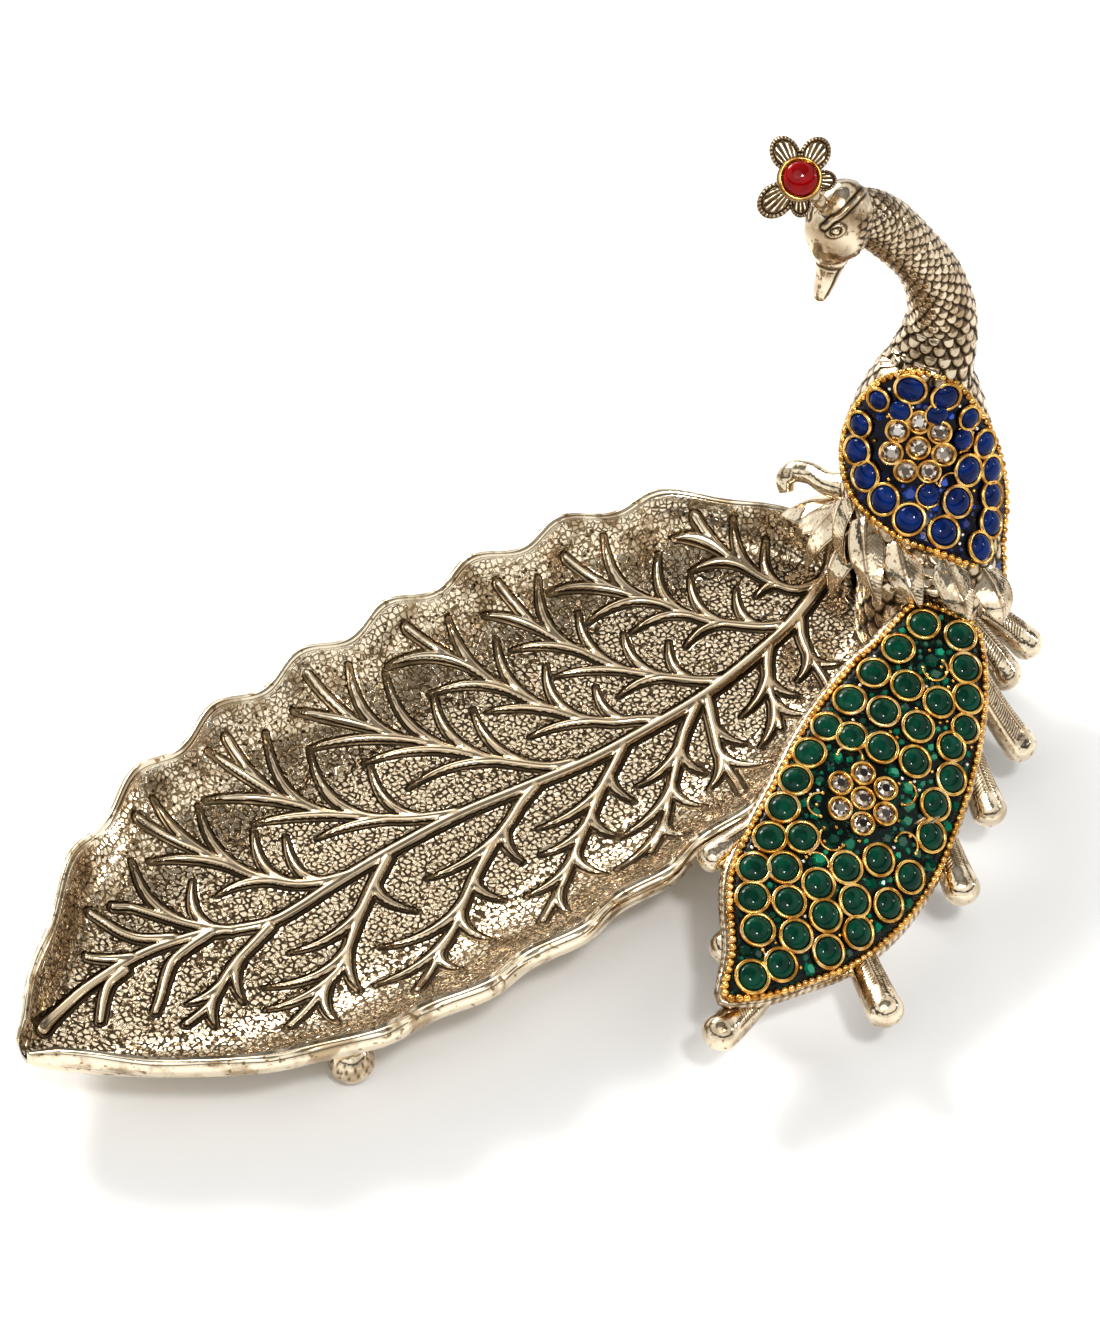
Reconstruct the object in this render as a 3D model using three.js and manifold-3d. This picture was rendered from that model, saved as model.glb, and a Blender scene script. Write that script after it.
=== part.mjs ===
// Peacock leaf dish: a cast leaf tray on ball feet, held at its stem end by a standing
// peacock whose back and tail carry set stones. All sizes are in millimetres.
// While modelling, x runs along the leaf from its tip to its stem, y to the back, z up
// from the table. The finished group is moved so that its footprint is centred on the origin.
import * as THREE from 'three';
import { mergeVertices } from 'three/addons/utils/BufferGeometryUtils.js';
import Module from 'manifold-3d';

const wasm = await Module();
wasm.setup();
const { Manifold, Mesh } = wasm;

const clearance = 0.3;

// Leaf tray
const leafEndX = 285;
const leafLength = 285;
const leafHalfWidth = 66;
const drawnLength = 285;
const drawnHalfWidth = 66;
const leafBow = 4;
const tipFlare = 58;
const tipRound = 3;
const backBluntness = 10;
const frontBluntness = 4;
const endRoundness = 0.45;
const rimHeight = 28;
const floorHeight = 12;
const tipFloorRise = 11;
const tipRiseLength = 25;
const leafWall = 3;
const leafTolerance = 0.4;
const castTolerance = 0.2;
const lipWidth = 4;
const lipHeight = 5;
const wallSteepness = 5;
const scallopPitch = 30.5;
const scallopCrest = 11.5;
const scallopDepth = 1.8;
const scallopLift = 1.2;

// Raised veins, drawn on a leaf of the drawn size: points from the midrib out, and for
// each twig its place along the vein and its tip.
const midribWidth = 4.6;
const midribHeight = 2;
const veinWidth = 3.5;
const veinHeight = 1.8;
const twigWidth = 2.8;
const twigHeight = 1.5;
const ridgeRoot = 0.9;
const midribLine = [
  [283, 10], [270, 5.6], [250, 0], [220, -4], [180, -2.8], [140, 3.9], [100, 5], [78, 4.6],
  [62, 12], [45, 15.6], [24.5, 13], [10, 6.5],
];
const veins = [
  {
    line: [[278, 10], [267.5, 18.5], [260.5, 46]],
    twigs: [[0.28, 260, 17], [0.42, 269, 38.5], [0.56, 251, 36]],
  },
  {
    line: [[258, 3.9], [242, 19], [231, 39], [220.5, 57]],
    twigs: [[0.07, 258, 23], [0.21, 231, 14.5], [0.36, 222, 28], [0.42, 246, 45], [0.52, 213, 38.5]],
  },
  {
    line: [[230, -2.2], [215.5, 12], [203, 38], [198, 60]],
    twigs: [[0.08, 228, 19], [0.22, 220, 29.5], [0.34, 193.5, 28.5], [0.38, 214, 43], [0.56, 189.5, 43]],
  },
  {
    line: [[206, -2.5], [190, 10], [178, 37], [166, 61.5]],
    twigs: [[0.08, 200.5, 18.5], [0.24, 194.5, 33.5], [0.35, 170, 29.5], [0.41, 188, 48.5], [0.54, 160, 44]],
  },
  {
    line: [[176.7, -0.5], [160, 14.5], [144, 36.7], [132, 63]],
    twigs: [[0.1, 167.5, 33], [0.21, 135.5, 20], [0.38, 131, 35], [0.43, 153, 54.5], [0.55, 121, 47]],
  },
  {
    line: [[140, 5], [118, 21], [105, 39], [101.7, 58]],
    twigs: [[0.08, 132, 34], [0.22, 105, 21], [0.3, 120.5, 46], [0.42, 94, 35.5], [0.58, 86.5, 47.5]],
  },
  {
    line: [[104, 5], [90, 12], [79, 31], [66.7, 49.5]],
    twigs: [[0.1, 98.5, 27], [0.32, 72, 21], [0.38, 84, 47], [0.52, 63, 39.5]],
  },
  { line: [[68, 8.5], [55.5, 24.4], [46.7, 32.2]], twigs: [[0.06, 69.5, 29], [0.3, 58.5, 41]] },
  { line: [[54.4, 15.5], [44.4, 24.4], [40, 32.2]], twigs: [] },
  { line: [[264, 2], [257, -9], [250.5, -25]], twigs: [[0.4, 247, -16]] },
  {
    line: [[250, -0.5], [241, -10], [230, -27.5]],
    twigs: [[0.28, 225.5, -16.5], [0.35, 243, -21], [0.6, 239, -30]],
  },
  { line: [[222, -5.5], [211, -23], [202, -43]], twigs: [[0.2, 219, -26], [0.5, 199, -33]] },
  {
    line: [[217.8, -5.5], [195.5, -22], [170, -42.5]],
    twigs: [[0.22, 185.5, -18.5], [0.27, 203, -27.5], [0.5, 169, -30.7], [0.5, 193, -38]],
  },
  {
    line: [[192, -4.5], [163, -22], [133, -42.5]],
    twigs: [[0.15, 181, -22], [0.2, 154, -13.5], [0.42, 149, -21.5], [0.58, 156, -40], [0.64, 136, -31]],
  },
  {
    line: [[163, -1.2], [130, -16.7], [93, -40.5]],
    twigs: [[0.2, 143.5, -20.5], [0.2, 120, -9], [0.44, 131, -28], [0.52, 96, -20.5], [0.6, 119, -38.5]],
  },
  {
    line: [[115.5, 3.3], [90, -14.4], [61.5, -28]],
    twigs: [[0.12, 111, -16.5], [0.24, 76, -7], [0.5, 82.5, -29], [0.48, 64, -12.5]],
  },
  { line: [[76.7, 3.3], [56.7, -4.4], [41, -10.8]], twigs: [[0.28, 57, -13.5], [0.7, 46.5, -16]] },
  { line: [[63, 11], [50, 9], [36.7, -2.8]], twigs: [] },
];

// Ball feet
const footRadius = 6.1;
const footFlat = 2.4;
const studRadius = 1.8;
const studLength = 3;
const bossRadius = 5;
const leafFeet = {
  foot_front_left: [70.8, -41.2],
  foot_back_left: [70.8, 47.2],
  foot_back_right: [190, 54],
};
const tailFootSpot = [226, -86];
const birdFootSpot = [293, -27];

// Hub and body of the bird
const hubX = 282;
const hubY = -27;
const hubBottom = 14;
const hubTop = 48;
const hubFootRadius = 15;
const hubTopRadius = 18;
const boltRadius = 2.5;
const boltHeadRadius = 4.5;
const boltHeadHeight = 3.5;
const boltReach = 16;
const tongueThickness = 4;
const traySpots = [[272, -35], [272, -21]];
const trayScrewRadius = 1.6;
const trayScrewHeadRadius = 3;
const trayScrewHeadHeight = 1.8;
const trayScrewGrip = 9;

// Back panel: its spine is an arc that leaves the neck steeply and flattens to the tail
const backTop = new THREE.Vector3(284, -20, 109);
const backHeading = THREE.MathUtils.degToRad(-38.5);
const backArcRadius = 54;
const backTopTilt = THREE.MathUtils.degToRad(5);
const backCrossRadius = 20;
const backOutline = [
  [-6.6, 0.5], [-3, -0.3], [4.9, 2.6], [11.8, 10.9], [17.8, 19.9], [21.6, 28.3], [23.1, 35.9], [21.9, 44.7],
  [21.2, 52.8], [13.2, 51.2], [4, 48.6], [-4.4, 45.7], [-11.9, 40.3], [-17.6, 34.7], [-20.5, 28.4],
  [-20.7, 21.6], [-18.5, 14.6], [-14.2, 7.2], [-11.4, 3.7],
];
const backStones = [
  [-5.2, 4.4], [3.8, 6.9], [10, 14.6], [15, 21.7], [18, 28.2], [18.5, 34.6], [18, 41], [14.8, 47],
  [4.6, 43.8], [-4.4, 40.4], [-10.8, 34.8], [-15.3, 29.2], [-17, 23], [-16.1, 16.6], [-12.2, 9.6],
  [11.3, 27.8], [8.6, 36],
];
const backChips = [[-7.2, 10.9], [2.8, 11.8], [9.3, 20], [1, 34.2]];
const chipRadius = 1.8;

// Tail panel: a gently domed leaf, wider on its outer side
const tailCentre = new THREE.Vector3(206, -74, 43);
const tailSlopeX = 0.063;
const tailSlopeY = 0.462;
const tailHeading = new THREE.Vector2(-0.919, -0.394);
const tailCrossRadius = 60;
const tailCrossMiddle = 8;
const tailOutline = [
  [-64.7, 1.2], [-65.3, 4.3], [-63.1, 9], [-54.6, 15.5], [-44.4, 21.2], [-28.6, 27.3], [-6.9, 32.3],
  [8.1, 33.3], [21.9, 31.5], [35.5, 26.8], [47, 19.7], [56, 13.3], [62.2, 6.8], [62.7, 5.1], [60.6, 4.3],
  [51.4, 0.8], [41.5, -5.8], [32.8, -10.1], [22.1, -11.9], [4.6, -13.3], [-16.1, -15.1], [-36.9, -13.9], [-46.7, -11.7],
  [-61.2, -9.6], [-63.8, -4.4],
];
const tailStoneRows = [
  [[-57.9, -5.2], [-47.6, -7.2], [-37.4, -9], [-26.7, -10.3], [-16.4, -11.2], [-7, -11], [2, -10.2]],
  [[10.9, -9], [20.3, -7.6], [30.2, -6.6], [37.6, -2.8], [44.5, 2.6], [48.8, 12], [56.1, 8]],
  [[-60.5, 4.6], [-39, 0.1], [-28.6, -1.3], [-17.3, -4.2], [15.5, -0.9], [25.7, -0.3], [33.1, 5.3]],
  [[39.8, 11.5], [-53.4, 10.3], [-40.1, 9.4], [-30.4, 8.4], [-19.1, 3.8], [-21.4, 12.7], [24.3, 9.1]],
  [[15.7, 12.7], [30.2, 15.2], [-46.5, 15.4], [-38.8, 19.2], [-31.4, 18], [-24.3, 23], [-15.3, 23.2]],
  [[8.1, 18.7], [21.7, 19], [37.6, 20.4], [-7.4, 26.8], [5.8, 27.8], [16.1, 27.1], [28, 24.5]],
];

// Stones and their settings
const panelThickness = 1.8;
const cabochonRadius = 3.5;
const cabochonHeight = 2.2;
const cabochonCollar = 0.5;
const stoneGap = 0.5;
const collarHeight = 1.1;
const collarRoot = 0.9;
const seatFloor = 0.2;
const stoneFoot = seatFloor + clearance;
const crystalRadius = 2.6;
const crystalHeight = 1.4;
const crystalCollar = 0.55;
const panelBedding = 1.3;
const stoneSides = 6;
const crystalSides = 6;
const backFlower = [-2.4, 20.8];
const backCrystalCircle = 7.2;
const backFlowerPetals = 7;
const tailFlower = [-3.4, 6.6];
const tailCrystalCircle = 7.1;
const tailFlowerPetals = 6;
const beadRadius = 0.85;

// Neck, head and crest
const neckPlaneY = -12;
const neckLine = [
  [290.6, 104, 12], [292.4, 108.5, 11.1], [293.6, 115.4, 10], [293.6, 121.9, 9], [291.2, 129.8, 8.2],
  [287.1, 138.7, 7.5], [281.1, 147.6, 6.9], [273.8, 156.8, 6.9], [266.8, 164.3, 7.3], [260.5, 170, 7.4],
];
const spigotRadius = 6;
const spigotLength = 9;
const headCentre = new THREE.Vector3(252, neckPlaneY, 171.8);
const headRadii = [7.6, 11.6, 9.2];
const headBow = THREE.MathUtils.degToRad(11);
const beakLength = 13;
const beakRadius = 3.7;
const crestCentre = new THREE.Vector3(236.8, -12.5, 192.7);
const crestPetalAngles = [58, 119, 221, 272, 358];
const crestPetalRadius = 4.4;
const crestPetalReach = 7.6;
const crestThickness = 2.4;
const crestPegRadius = 2;
const crestPegSeat = 4;
const crestStoneRadius = 4.3;
const crestStoneHeight = 2.6;
const crestBezelWall = 0.6;
const crestBezelHeight = 1.6;
const viewHeading = THREE.MathUtils.degToRad(-38.5);
const viewRise = THREE.MathUtils.degToRad(44);

// Feather fingers: the tip's place, and the root's place on the tail (along, across) or the hub
const fingerRadius = 5;
const fingerDepth = 8.5;
const tailFingers = [
  { tip: [274, -77.5, 19], root: [-60, 12] },
  { tip: [250.5, -89.5, 19], root: [-46, 15] },
  { tip: [225.5, -105, 19], root: [-22, 20] },
  { tip: [182, -122, 19], root: [20, 20] },
  { tip: [143.5, -102, 20.5], root: [40, 4] },
  { tip: [163, -82, 20], root: [36, -1] },
];
const rimFingerRadius = 4.2;
const rimFinger = { tip: [171.5, -65, 34.5], root: [-2, -5] };
const hubFingers = [
  { tip: [302.5, -51, 20], root: [292, -36, 31] },
  { tip: [289, -56, 20], root: [285, -40, 33] },
];
const tailPlateThickness = 4;
const skirtReach = 3.6;
const curlRadius = 3.4;
const curls = [
  { tip: [281.5, 24, 42], root: [288, -15, 42] },
  { tip: [273, 19, 38.5], root: [281, -14, 38] },
];

function toSolid(geometry) {
  const bare = new THREE.BufferGeometry();
  bare.setAttribute('position', geometry.getAttribute('position'));
  if (geometry.index) bare.setIndex(geometry.index);
  const merged = mergeVertices(bare, 1e-4);
  const corners = merged.index.array;
  const kept = [];
  for (let i = 0; i < corners.length; i += 3) {
    const [a, b, c] = [corners[i], corners[i + 1], corners[i + 2]];
    if (a !== b && b !== c && c !== a) kept.push(a, b, c);
  }
  return new Manifold(new Mesh({
    numProp: 3,
    vertProperties: new Float32Array(merged.getAttribute('position').array),
    triVerts: new Uint32Array(kept),
  }));
}

function toGeometry(solid) {
  const mesh = solid.getMesh();
  const places = new Float32Array(mesh.numVert * 3);
  for (let i = 0; i < mesh.numVert; i++) {
    places.set(mesh.vertProperties.subarray(i * mesh.numProp, i * mesh.numProp + 3), i * 3);
  }
  const geometry = new THREE.BufferGeometry();
  geometry.setAttribute('position', new THREE.BufferAttribute(places, 3));
  geometry.setIndex(new THREE.BufferAttribute(new Uint32Array(mesh.triVerts), 1));
  geometry.computeVertexNormals();
  return geometry;
}

// Triangles that close a ring, found on the ring's own plane.
function capTriangles(ring) {
  const normal = new THREE.Vector3();
  ring.forEach((p, i) => {
    const q = ring[(i + 1) % ring.length];
    normal.add(new THREE.Vector3().crossVectors(p, q));
  });
  normal.normalize();
  const across = new THREE.Vector3().subVectors(ring[1], ring[0]).projectOnPlane(normal).normalize();
  const along = new THREE.Vector3().crossVectors(normal, across);
  const flat = ring.map((p) => new THREE.Vector2(p.dot(across), p.dot(along)));
  return THREE.ShapeUtils.triangulateShape(flat, []);
}

// A closed solid through rings of equally many points.
function skin(rings) {
  const count = rings[0].length;
  const places = rings.flat().flatMap((p) => [p.x, p.y, p.z]);
  const corners = [];
  for (let r = 0; r + 1 < rings.length; r++) {
    for (let i = 0; i < count; i++) {
      const j = (i + 1) % count;
      const [a, b, c, d] = [r * count + i, r * count + j, (r + 1) * count + j, (r + 1) * count + i];
      corners.push(a, b, c, a, c, d);
    }
  }
  const last = (rings.length - 1) * count;
  for (const [a, b, c] of capTriangles(rings[0])) corners.push(a, c, b);
  for (const [a, b, c] of capTriangles(rings[rings.length - 1])) corners.push(last + a, last + b, last + c);
  const geometry = new THREE.BufferGeometry();
  geometry.setAttribute('position', new THREE.Float32BufferAttribute(places, 3));
  geometry.setIndex(corners);
  const solid = toSolid(geometry);
  if (solid.volume() > 0) return solid;
  const turned = [];
  for (let i = 0; i < corners.length; i += 3) turned.push(corners[i], corners[i + 2], corners[i + 1]);
  geometry.setIndex(turned);
  return toSolid(geometry);
}

// A tube along points, each with its own half-width and half-height; side is the
// direction that the half-width is measured along.
function tube(stations, sides, side) {
  const rings = stations.map(({ at, wide, high }, i) => {
    const before = stations[Math.max(0, i - 1)].at;
    const after = stations[Math.min(stations.length - 1, i + 1)].at;
    const ahead = new THREE.Vector3().subVectors(after, before).normalize();
    const across = side.clone().projectOnPlane(ahead).normalize();
    const over = new THREE.Vector3().crossVectors(ahead, across);
    return Array.from({ length: sides }, (_, k) => {
      const turn = (2 * Math.PI * (k + 0.5)) / sides;
      return at.clone()
        .addScaledVector(across, wide * Math.cos(turn))
        .addScaledVector(over, high * Math.sin(turn));
    });
  });
  return skin(rings);
}

function lathe(profile, sides) {
  const geometry = new THREE.LatheGeometry(profile.map(([r, z]) => new THREE.Vector2(r, z)), sides);
  geometry.rotateX(Math.PI / 2);
  const solid = toSolid(geometry);
  if (solid.volume() > 0) return solid;
  geometry.setIndex(Array.from(geometry.index.array).reverse());
  return toSolid(geometry);
}

function cylinder(radius, bottom, top, sides, x = 0, y = 0) {
  return lathe([[0, bottom], [radius, bottom], [radius, top], [0, top]], sides).translate([x, y, 0]);
}

// The solid with its smallest facets merged, without the crumbs that this can leave.
function lightened(solid, tolerance) {
  const pieces = solid.simplify(tolerance).decompose();
  return pieces.reduce((largest, piece) => (piece.volume() > largest.volume() ? piece : largest));
}

function place(solid, at, up, turn = 0) {
  const aim = new THREE.Quaternion().setFromUnitVectors(new THREE.Vector3(0, 0, 1), up);
  const matrix = new THREE.Matrix4().makeRotationFromQuaternion(aim)
    .multiply(new THREE.Matrix4().makeRotationZ(turn)).setPosition(at);
  return solid.transform(matrix.elements);
}

// Leaf tray
function bow(x) {
  const share = x / leafLength;
  return 4 * leafBow * share * (1 - share);
}

function scallop(x) {
  return Math.cos((2 * Math.PI * (x - scallopCrest)) / scallopPitch);
}

function halfWidth(x, side) {
  const bluntness = side > 0 ? backBluntness : frontBluntness;
  const end = Math.pow(Math.max(0, 1 - (x / leafLength) ** bluntness), endRoundness);
  const plain = leafHalfWidth * Math.tanh((x + tipRound) / tipFlare) * end;
  return plain + scallopDepth * scallop(x) * Math.min(1, plain / leafHalfWidth);
}

function rimTop(x) {
  return rimHeight + scallopLift * scallop(x);
}

function floorTop(x) {
  return floorHeight + tipFloorRise * Math.exp(-x / tipRiseLength);
}

function dishTop(x, y) {
  const side = y > bow(x) ? 1 : -1;
  const inner = halfWidth(x, side) - Math.min(lipWidth, 0.4 * halfWidth(x, side));
  const share = Math.min(1, Math.abs(y - bow(x)) / inner);
  return floorTop(x) + (rimTop(x) - floorTop(x)) * share ** wallSteepness;
}

function leafRing(x) {
  const topShares = [1, 0.92, 0.78, 0.5];
  const underShares = [1, 0.87, 0.6];
  const middle = bow(x);
  const rim = rimTop(x);
  const floor = floorTop(x);
  const half = (side) => {
    const outer = halfWidth(x, side);
    const lip = Math.min(lipWidth, 0.4 * outer);
    const wall = Math.min(leafWall, 0.5 * outer);
    const at = (reach, z) => new THREE.Vector3(x, middle + side * reach, z);
    const drop = lipHeight * (lip / lipWidth);
    const top = topShares.map((a) => at(a * (outer - lip), floor + (rim - floor) * a ** wallSteepness));
    const lipPoints = [at(outer - lip * 0.5, rim + 0.5), at(outer, rim - 0.8)];
    const under = underShares.map((a) => at(
      a * (outer - 0.6),
      floor - wall + (rim - drop - floor + wall) * a ** wallSteepness,
    ));
    return { top, lipPoints, under };
  };
  const back = half(1);
  const front = half(-1);
  return [
    ...back.top.slice().reverse(), ...back.lipPoints, ...back.under,
    ...front.under.slice().reverse(), ...front.lipPoints.slice().reverse(), ...front.top,
  ];
}

// A point of the drawn leaf on the leaf of the real size.
function onLeaf([x, y]) {
  return new THREE.Vector2((x * leafLength) / drawnLength, (y * leafHalfWidth) / drawnHalfWidth);
}

// One raised vein: a ridge with sloping flanks that follows the dish.
function ridge(path, width, height, steps) {
  const rings = [];
  for (let i = 0; i <= steps; i++) {
    const share = i / steps;
    const at = path.getPointAt(share);
    const ahead = path.getTangentAt(share);
    const corner = (reach, lift) => {
      const x = at.x - ahead.y * reach;
      const y = at.y + ahead.x * reach;
      return new THREE.Vector3(x, y, dishTop(x, y) + lift);
    };
    const half = (width / 2) * (1 - 0.55 * share);
    const rise = height * (1 - 0.4 * share);
    rings.push([corner(-half, -ridgeRoot), corner(0, rise), corner(half, -ridgeRoot)]);
  }
  return skin(rings);
}

// A twig leaves its vein along it and bends to its tip.
function twigPath(vein, [share, tipX, tipY]) {
  const from = vein.getPointAt(share);
  const tip = onLeaf([tipX, tipY]);
  const bend = from.clone().addScaledVector(vein.getTangentAt(share), 0.55 * from.distanceTo(tip));
  return new THREE.QuadraticBezierCurve(from, bend, tip);
}

function veinRidges() {
  const ridges = [ridge(new THREE.SplineCurve(midribLine.map(onLeaf)), midribWidth, midribHeight, 14)];
  for (const { line, twigs } of veins) {
    const vein = new THREE.SplineCurve(line.map(onLeaf));
    ridges.push(ridge(vein, veinWidth, veinHeight, 3));
    for (const twig of twigs) ridges.push(ridge(twigPath(vein, twig), twigWidth, twigHeight, 2));
  }
  return ridges;
}

function leafBlank() {
  const stations = [0];
  for (let x = 6; x < leafLength - 12; x += 7.5) stations.push(x);
  for (const back of [9, 6, 3.6, 1.8, 0.7]) stations.push(leafLength - back);
  return skin(stations.map(leafRing));
}

function footBoss(x, y, bottom, top) {
  return cylinder(bossRadius, bottom, top, 12, x, y);
}

const footTop = 2 * footRadius - 0.4;
const bossBottom = footTop + clearance;
const studTop = footTop + studLength;

function studHole(x, y) {
  return cylinder(studRadius + clearance, bossBottom - 2, studTop + clearance, 10, x, y);
}

const tongueTop = hubBottom - clearance;
const tongueBottom = tongueTop - tongueThickness;

// Where each foot of the leaf stands.
const leafShift = leafEndX - leafLength;
const footSpots = Object.fromEntries(Object.entries(leafFeet).map(([name, spot]) => {
  const { x, y } = onLeaf(spot);
  return [name, [x + leafShift, y]];
}));

function leafTray() {
  let tray = leafBlank();
  for (const spot of Object.values(leafFeet)) {
    const { x, y } = onLeaf(spot);
    tray = tray.add(footBoss(x, y, bossBottom, dishTop(x, y) - 1.5));
  }
  tray = Manifold.union([tray, ...veinRidges()]).translate([leafShift, 0, 0]);
  const tongue = cylinder(12, tongueBottom, tongueTop, 16, 271, -28).intersect(
    cylinder(14, tongueBottom - 1, tongueTop + 1, 16, 269, -28),
  );
  const notch = cylinder(hubTopRadius + 1.6, tongueTop, rimHeight + 20, 28, hubX, hubY);
  tray = tray.add(tongue).subtract(notch);
  for (const [x, y] of Object.values(footSpots)) tray = tray.subtract(studHole(x, y));
  for (const [x, y] of traySpots) {
    tray = tray.subtract(cylinder(trayScrewRadius + clearance, 0, tongueTop + 1, 10, x, y));
  }
  return lightened(tray, leafTolerance);
}

// Ball foot: a ball flattened where it stands, with a stud on top.
function ballFoot() {
  const profile = [[0, 0], [footFlat, 0]];
  for (const turn of [-42, 0, 42]) {
    const angle = THREE.MathUtils.degToRad(turn);
    profile.push([footRadius * Math.cos(angle), footRadius - 0.2 + footRadius * Math.sin(angle)]);
  }
  profile.push([footFlat, footTop], [studRadius, footTop], [studRadius, studTop], [0, studTop]);
  return lathe(profile, 9);
}

// Back panel surface: u across, s down the spine from its top.
const backOut = new THREE.Vector3(Math.sin(backHeading), -Math.cos(backHeading), 0);
const backAcross = new THREE.Vector3(Math.cos(backHeading), Math.sin(backHeading), 0);

function backPoint(u, s, lift = 0) {
  const tilt = backTopTilt + s / backArcRadius;
  const out = backArcRadius * (Math.cos(backTopTilt) - Math.cos(tilt));
  const down = backArcRadius * (Math.sin(tilt) - Math.sin(backTopTilt));
  const normal = backOut.clone().multiplyScalar(Math.cos(tilt)).setZ(Math.sin(tilt));
  return backTop.clone().addScaledVector(backOut, out).addScaledVector(new THREE.Vector3(0, 0, 1), -down)
    .addScaledVector(backAcross, u)
    .addScaledVector(normal, lift - (u * u) / (2 * backCrossRadius));
}

// Tail panel surface: a along the tail, b across it.
const tailUp = new THREE.Vector3(-tailSlopeX, -tailSlopeY, 1).normalize();
const tailAlong = new THREE.Vector3(tailHeading.x, tailHeading.y, 0).projectOnPlane(tailUp).normalize();
const tailAcross = new THREE.Vector3().crossVectors(tailAlong, tailUp).negate();

function tailPoint(a, b, lift = 0) {
  const off = b - tailCrossMiddle;
  return tailCentre.clone().addScaledVector(tailAlong, a).addScaledVector(tailAcross, b)
    .addScaledVector(tailUp, lift - (off * off) / (2 * tailCrossRadius));
}

function normalAt(surface, u, v) {
  const step = 0.05;
  const alongU = surface(u + step, v).sub(surface(u - step, v));
  const alongV = surface(u, v + step).sub(surface(u, v - step));
  const normal = alongU.cross(alongV).normalize();
  return normal.dot(surface(u, v, 1).sub(surface(u, v))) > 0 ? normal : normal.negate();
}

// A closed outline through its points, evenly sampled.
function outlineCurve(points) {
  const places = points.map(([u, v]) => new THREE.Vector3(u, v, 0));
  return new THREE.CatmullRomCurve3(places, true, 'catmullrom', 0.5);
}

function outlinePoints(points, count) {
  return outlineCurve(points).getSpacedPoints(count).slice(0, count);
}

// The outline moved inwards by a distance.
function inset(points, count, distance) {
  const ring = outlinePoints(points, count);
  const area = ring.reduce((sum, p, i) => {
    const q = ring[(i + 1) % count];
    return sum + p.x * q.y - q.x * p.y;
  }, 0);
  return ring.map((p, i) => {
    const before = ring[(i + count - 1) % count];
    const after = ring[(i + 1) % count];
    const ahead = new THREE.Vector3().subVectors(after, before).normalize();
    const inward = new THREE.Vector3(-ahead.y, ahead.x, 0).multiplyScalar(Math.sign(area));
    return p.clone().addScaledVector(inward, distance);
  });
}

// A plate that follows a panel's surface, from its outline to its middle.
function plate(panel, grow, bottom, top, edgePoints = panel.edgePoints) {
  const edge = inset(panel.outline, edgePoints, -grow);
  const middle = edge.reduce((sum, p) => sum.add(p), new THREE.Vector3()).divideScalar(edgePoints);
  const ringAt = (share, lift) => edge.map((p) => {
    const q = middle.clone().lerp(p, share);
    return panel.surface(q.x, q.y, lift);
  });
  const upper = panel.shares.map((share) => ringAt(share, top));
  const lower = panel.shares.map((share) => ringAt(share, bottom)).reverse();
  return skin([...upper, ...lower]);
}

function flowerSpots([u, v], petals, circle) {
  const spots = [[u, v]];
  for (let i = 0; i < petals; i++) {
    const turn = (2 * Math.PI * i) / petals - Math.PI / 2;
    spots.push([u + circle * Math.cos(turn), v + circle * Math.sin(turn)]);
  }
  return spots;
}

// A raised disc of the setting, and the seat that is cut in it for a stone.
function settingDisc(radius) {
  return cylinder(radius + clearance + cabochonCollar, -collarRoot, collarHeight, stoneSides);
}

function settingSeat(radius, sides) {
  return cylinder(radius + clearance, seatFloor, collarHeight + 4, sides);
}

// The boss that carries a whole flower of crystals.
function flowerBoss(circle) {
  return cylinder(circle + crystalRadius + clearance + crystalCollar, -2 * collarRoot, collarHeight, 18);
}

function cabochon(radius, height, sides) {
  return lathe([[0, stoneFoot], [radius, stoneFoot], [0.78 * radius, 0.76 * height], [0, height]], sides);
}

function crystal(radius, height, sides) {
  return lathe([[0, stoneFoot], [radius, stoneFoot], [0.6 * radius, height], [0, height]], sides);
}

const backPanel = {
  surface: backPoint,
  outline: backOutline,
  edgePoints: 28,
  shares: [0.1, 0.4, 0.7, 1],
  crystals: flowerSpots(backFlower, backFlowerPetals, backCrystalCircle),
  circle: backCrystalCircle,
};

const tailPanel = {
  surface: tailPoint,
  outline: tailOutline,
  edgePoints: 34,
  shares: [0.1, 0.55, 1],
  crystals: flowerSpots(tailFlower, tailFlowerPetals, tailCrystalCircle),
  circle: tailCrystalCircle,
};

function setOn(surface, spots, make) {
  return spots.map(([u, v], i) => place(make(i), surface(u, v), normalAt(surface, u, v)));
}

// The radius of each stone: as large as its neighbours, the chips and the panel's edge allow.
function fittedRadii({ surface, outline }, stones, chips) {
  const places = stones.map(([u, v]) => surface(u, v));
  const edge = outlinePoints(outline, 120).map((p) => surface(p.x, p.y));
  const nearest = (p, others) => Math.min(...others.filter((q) => q !== p).map((q) => q.distanceTo(p)));
  const chipPlaces = chips.map(([u, v]) => surface(u, v));
  return places.map((p) => Math.min(
    cabochonRadius,
    (nearest(p, places) - stoneGap) / 2 - clearance,
    nearest(p, chipPlaces) - chipRadius - 2 * clearance - stoneGap / 2,
    nearest(p, edge) - cabochonCollar,
  ));
}

// The crystals of a flower stand together on the flat boss round its middle.
function onBoss({ surface, crystals }, make) {
  const [u, v] = crystals[0];
  const middle = surface(u, v);
  const normal = normalAt(surface, u, v);
  return crystals.map((spot) => {
    const foot = surface(...spot).sub(middle).projectOnPlane(normal).add(middle);
    return place(make(), foot, normal);
  });
}

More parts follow.
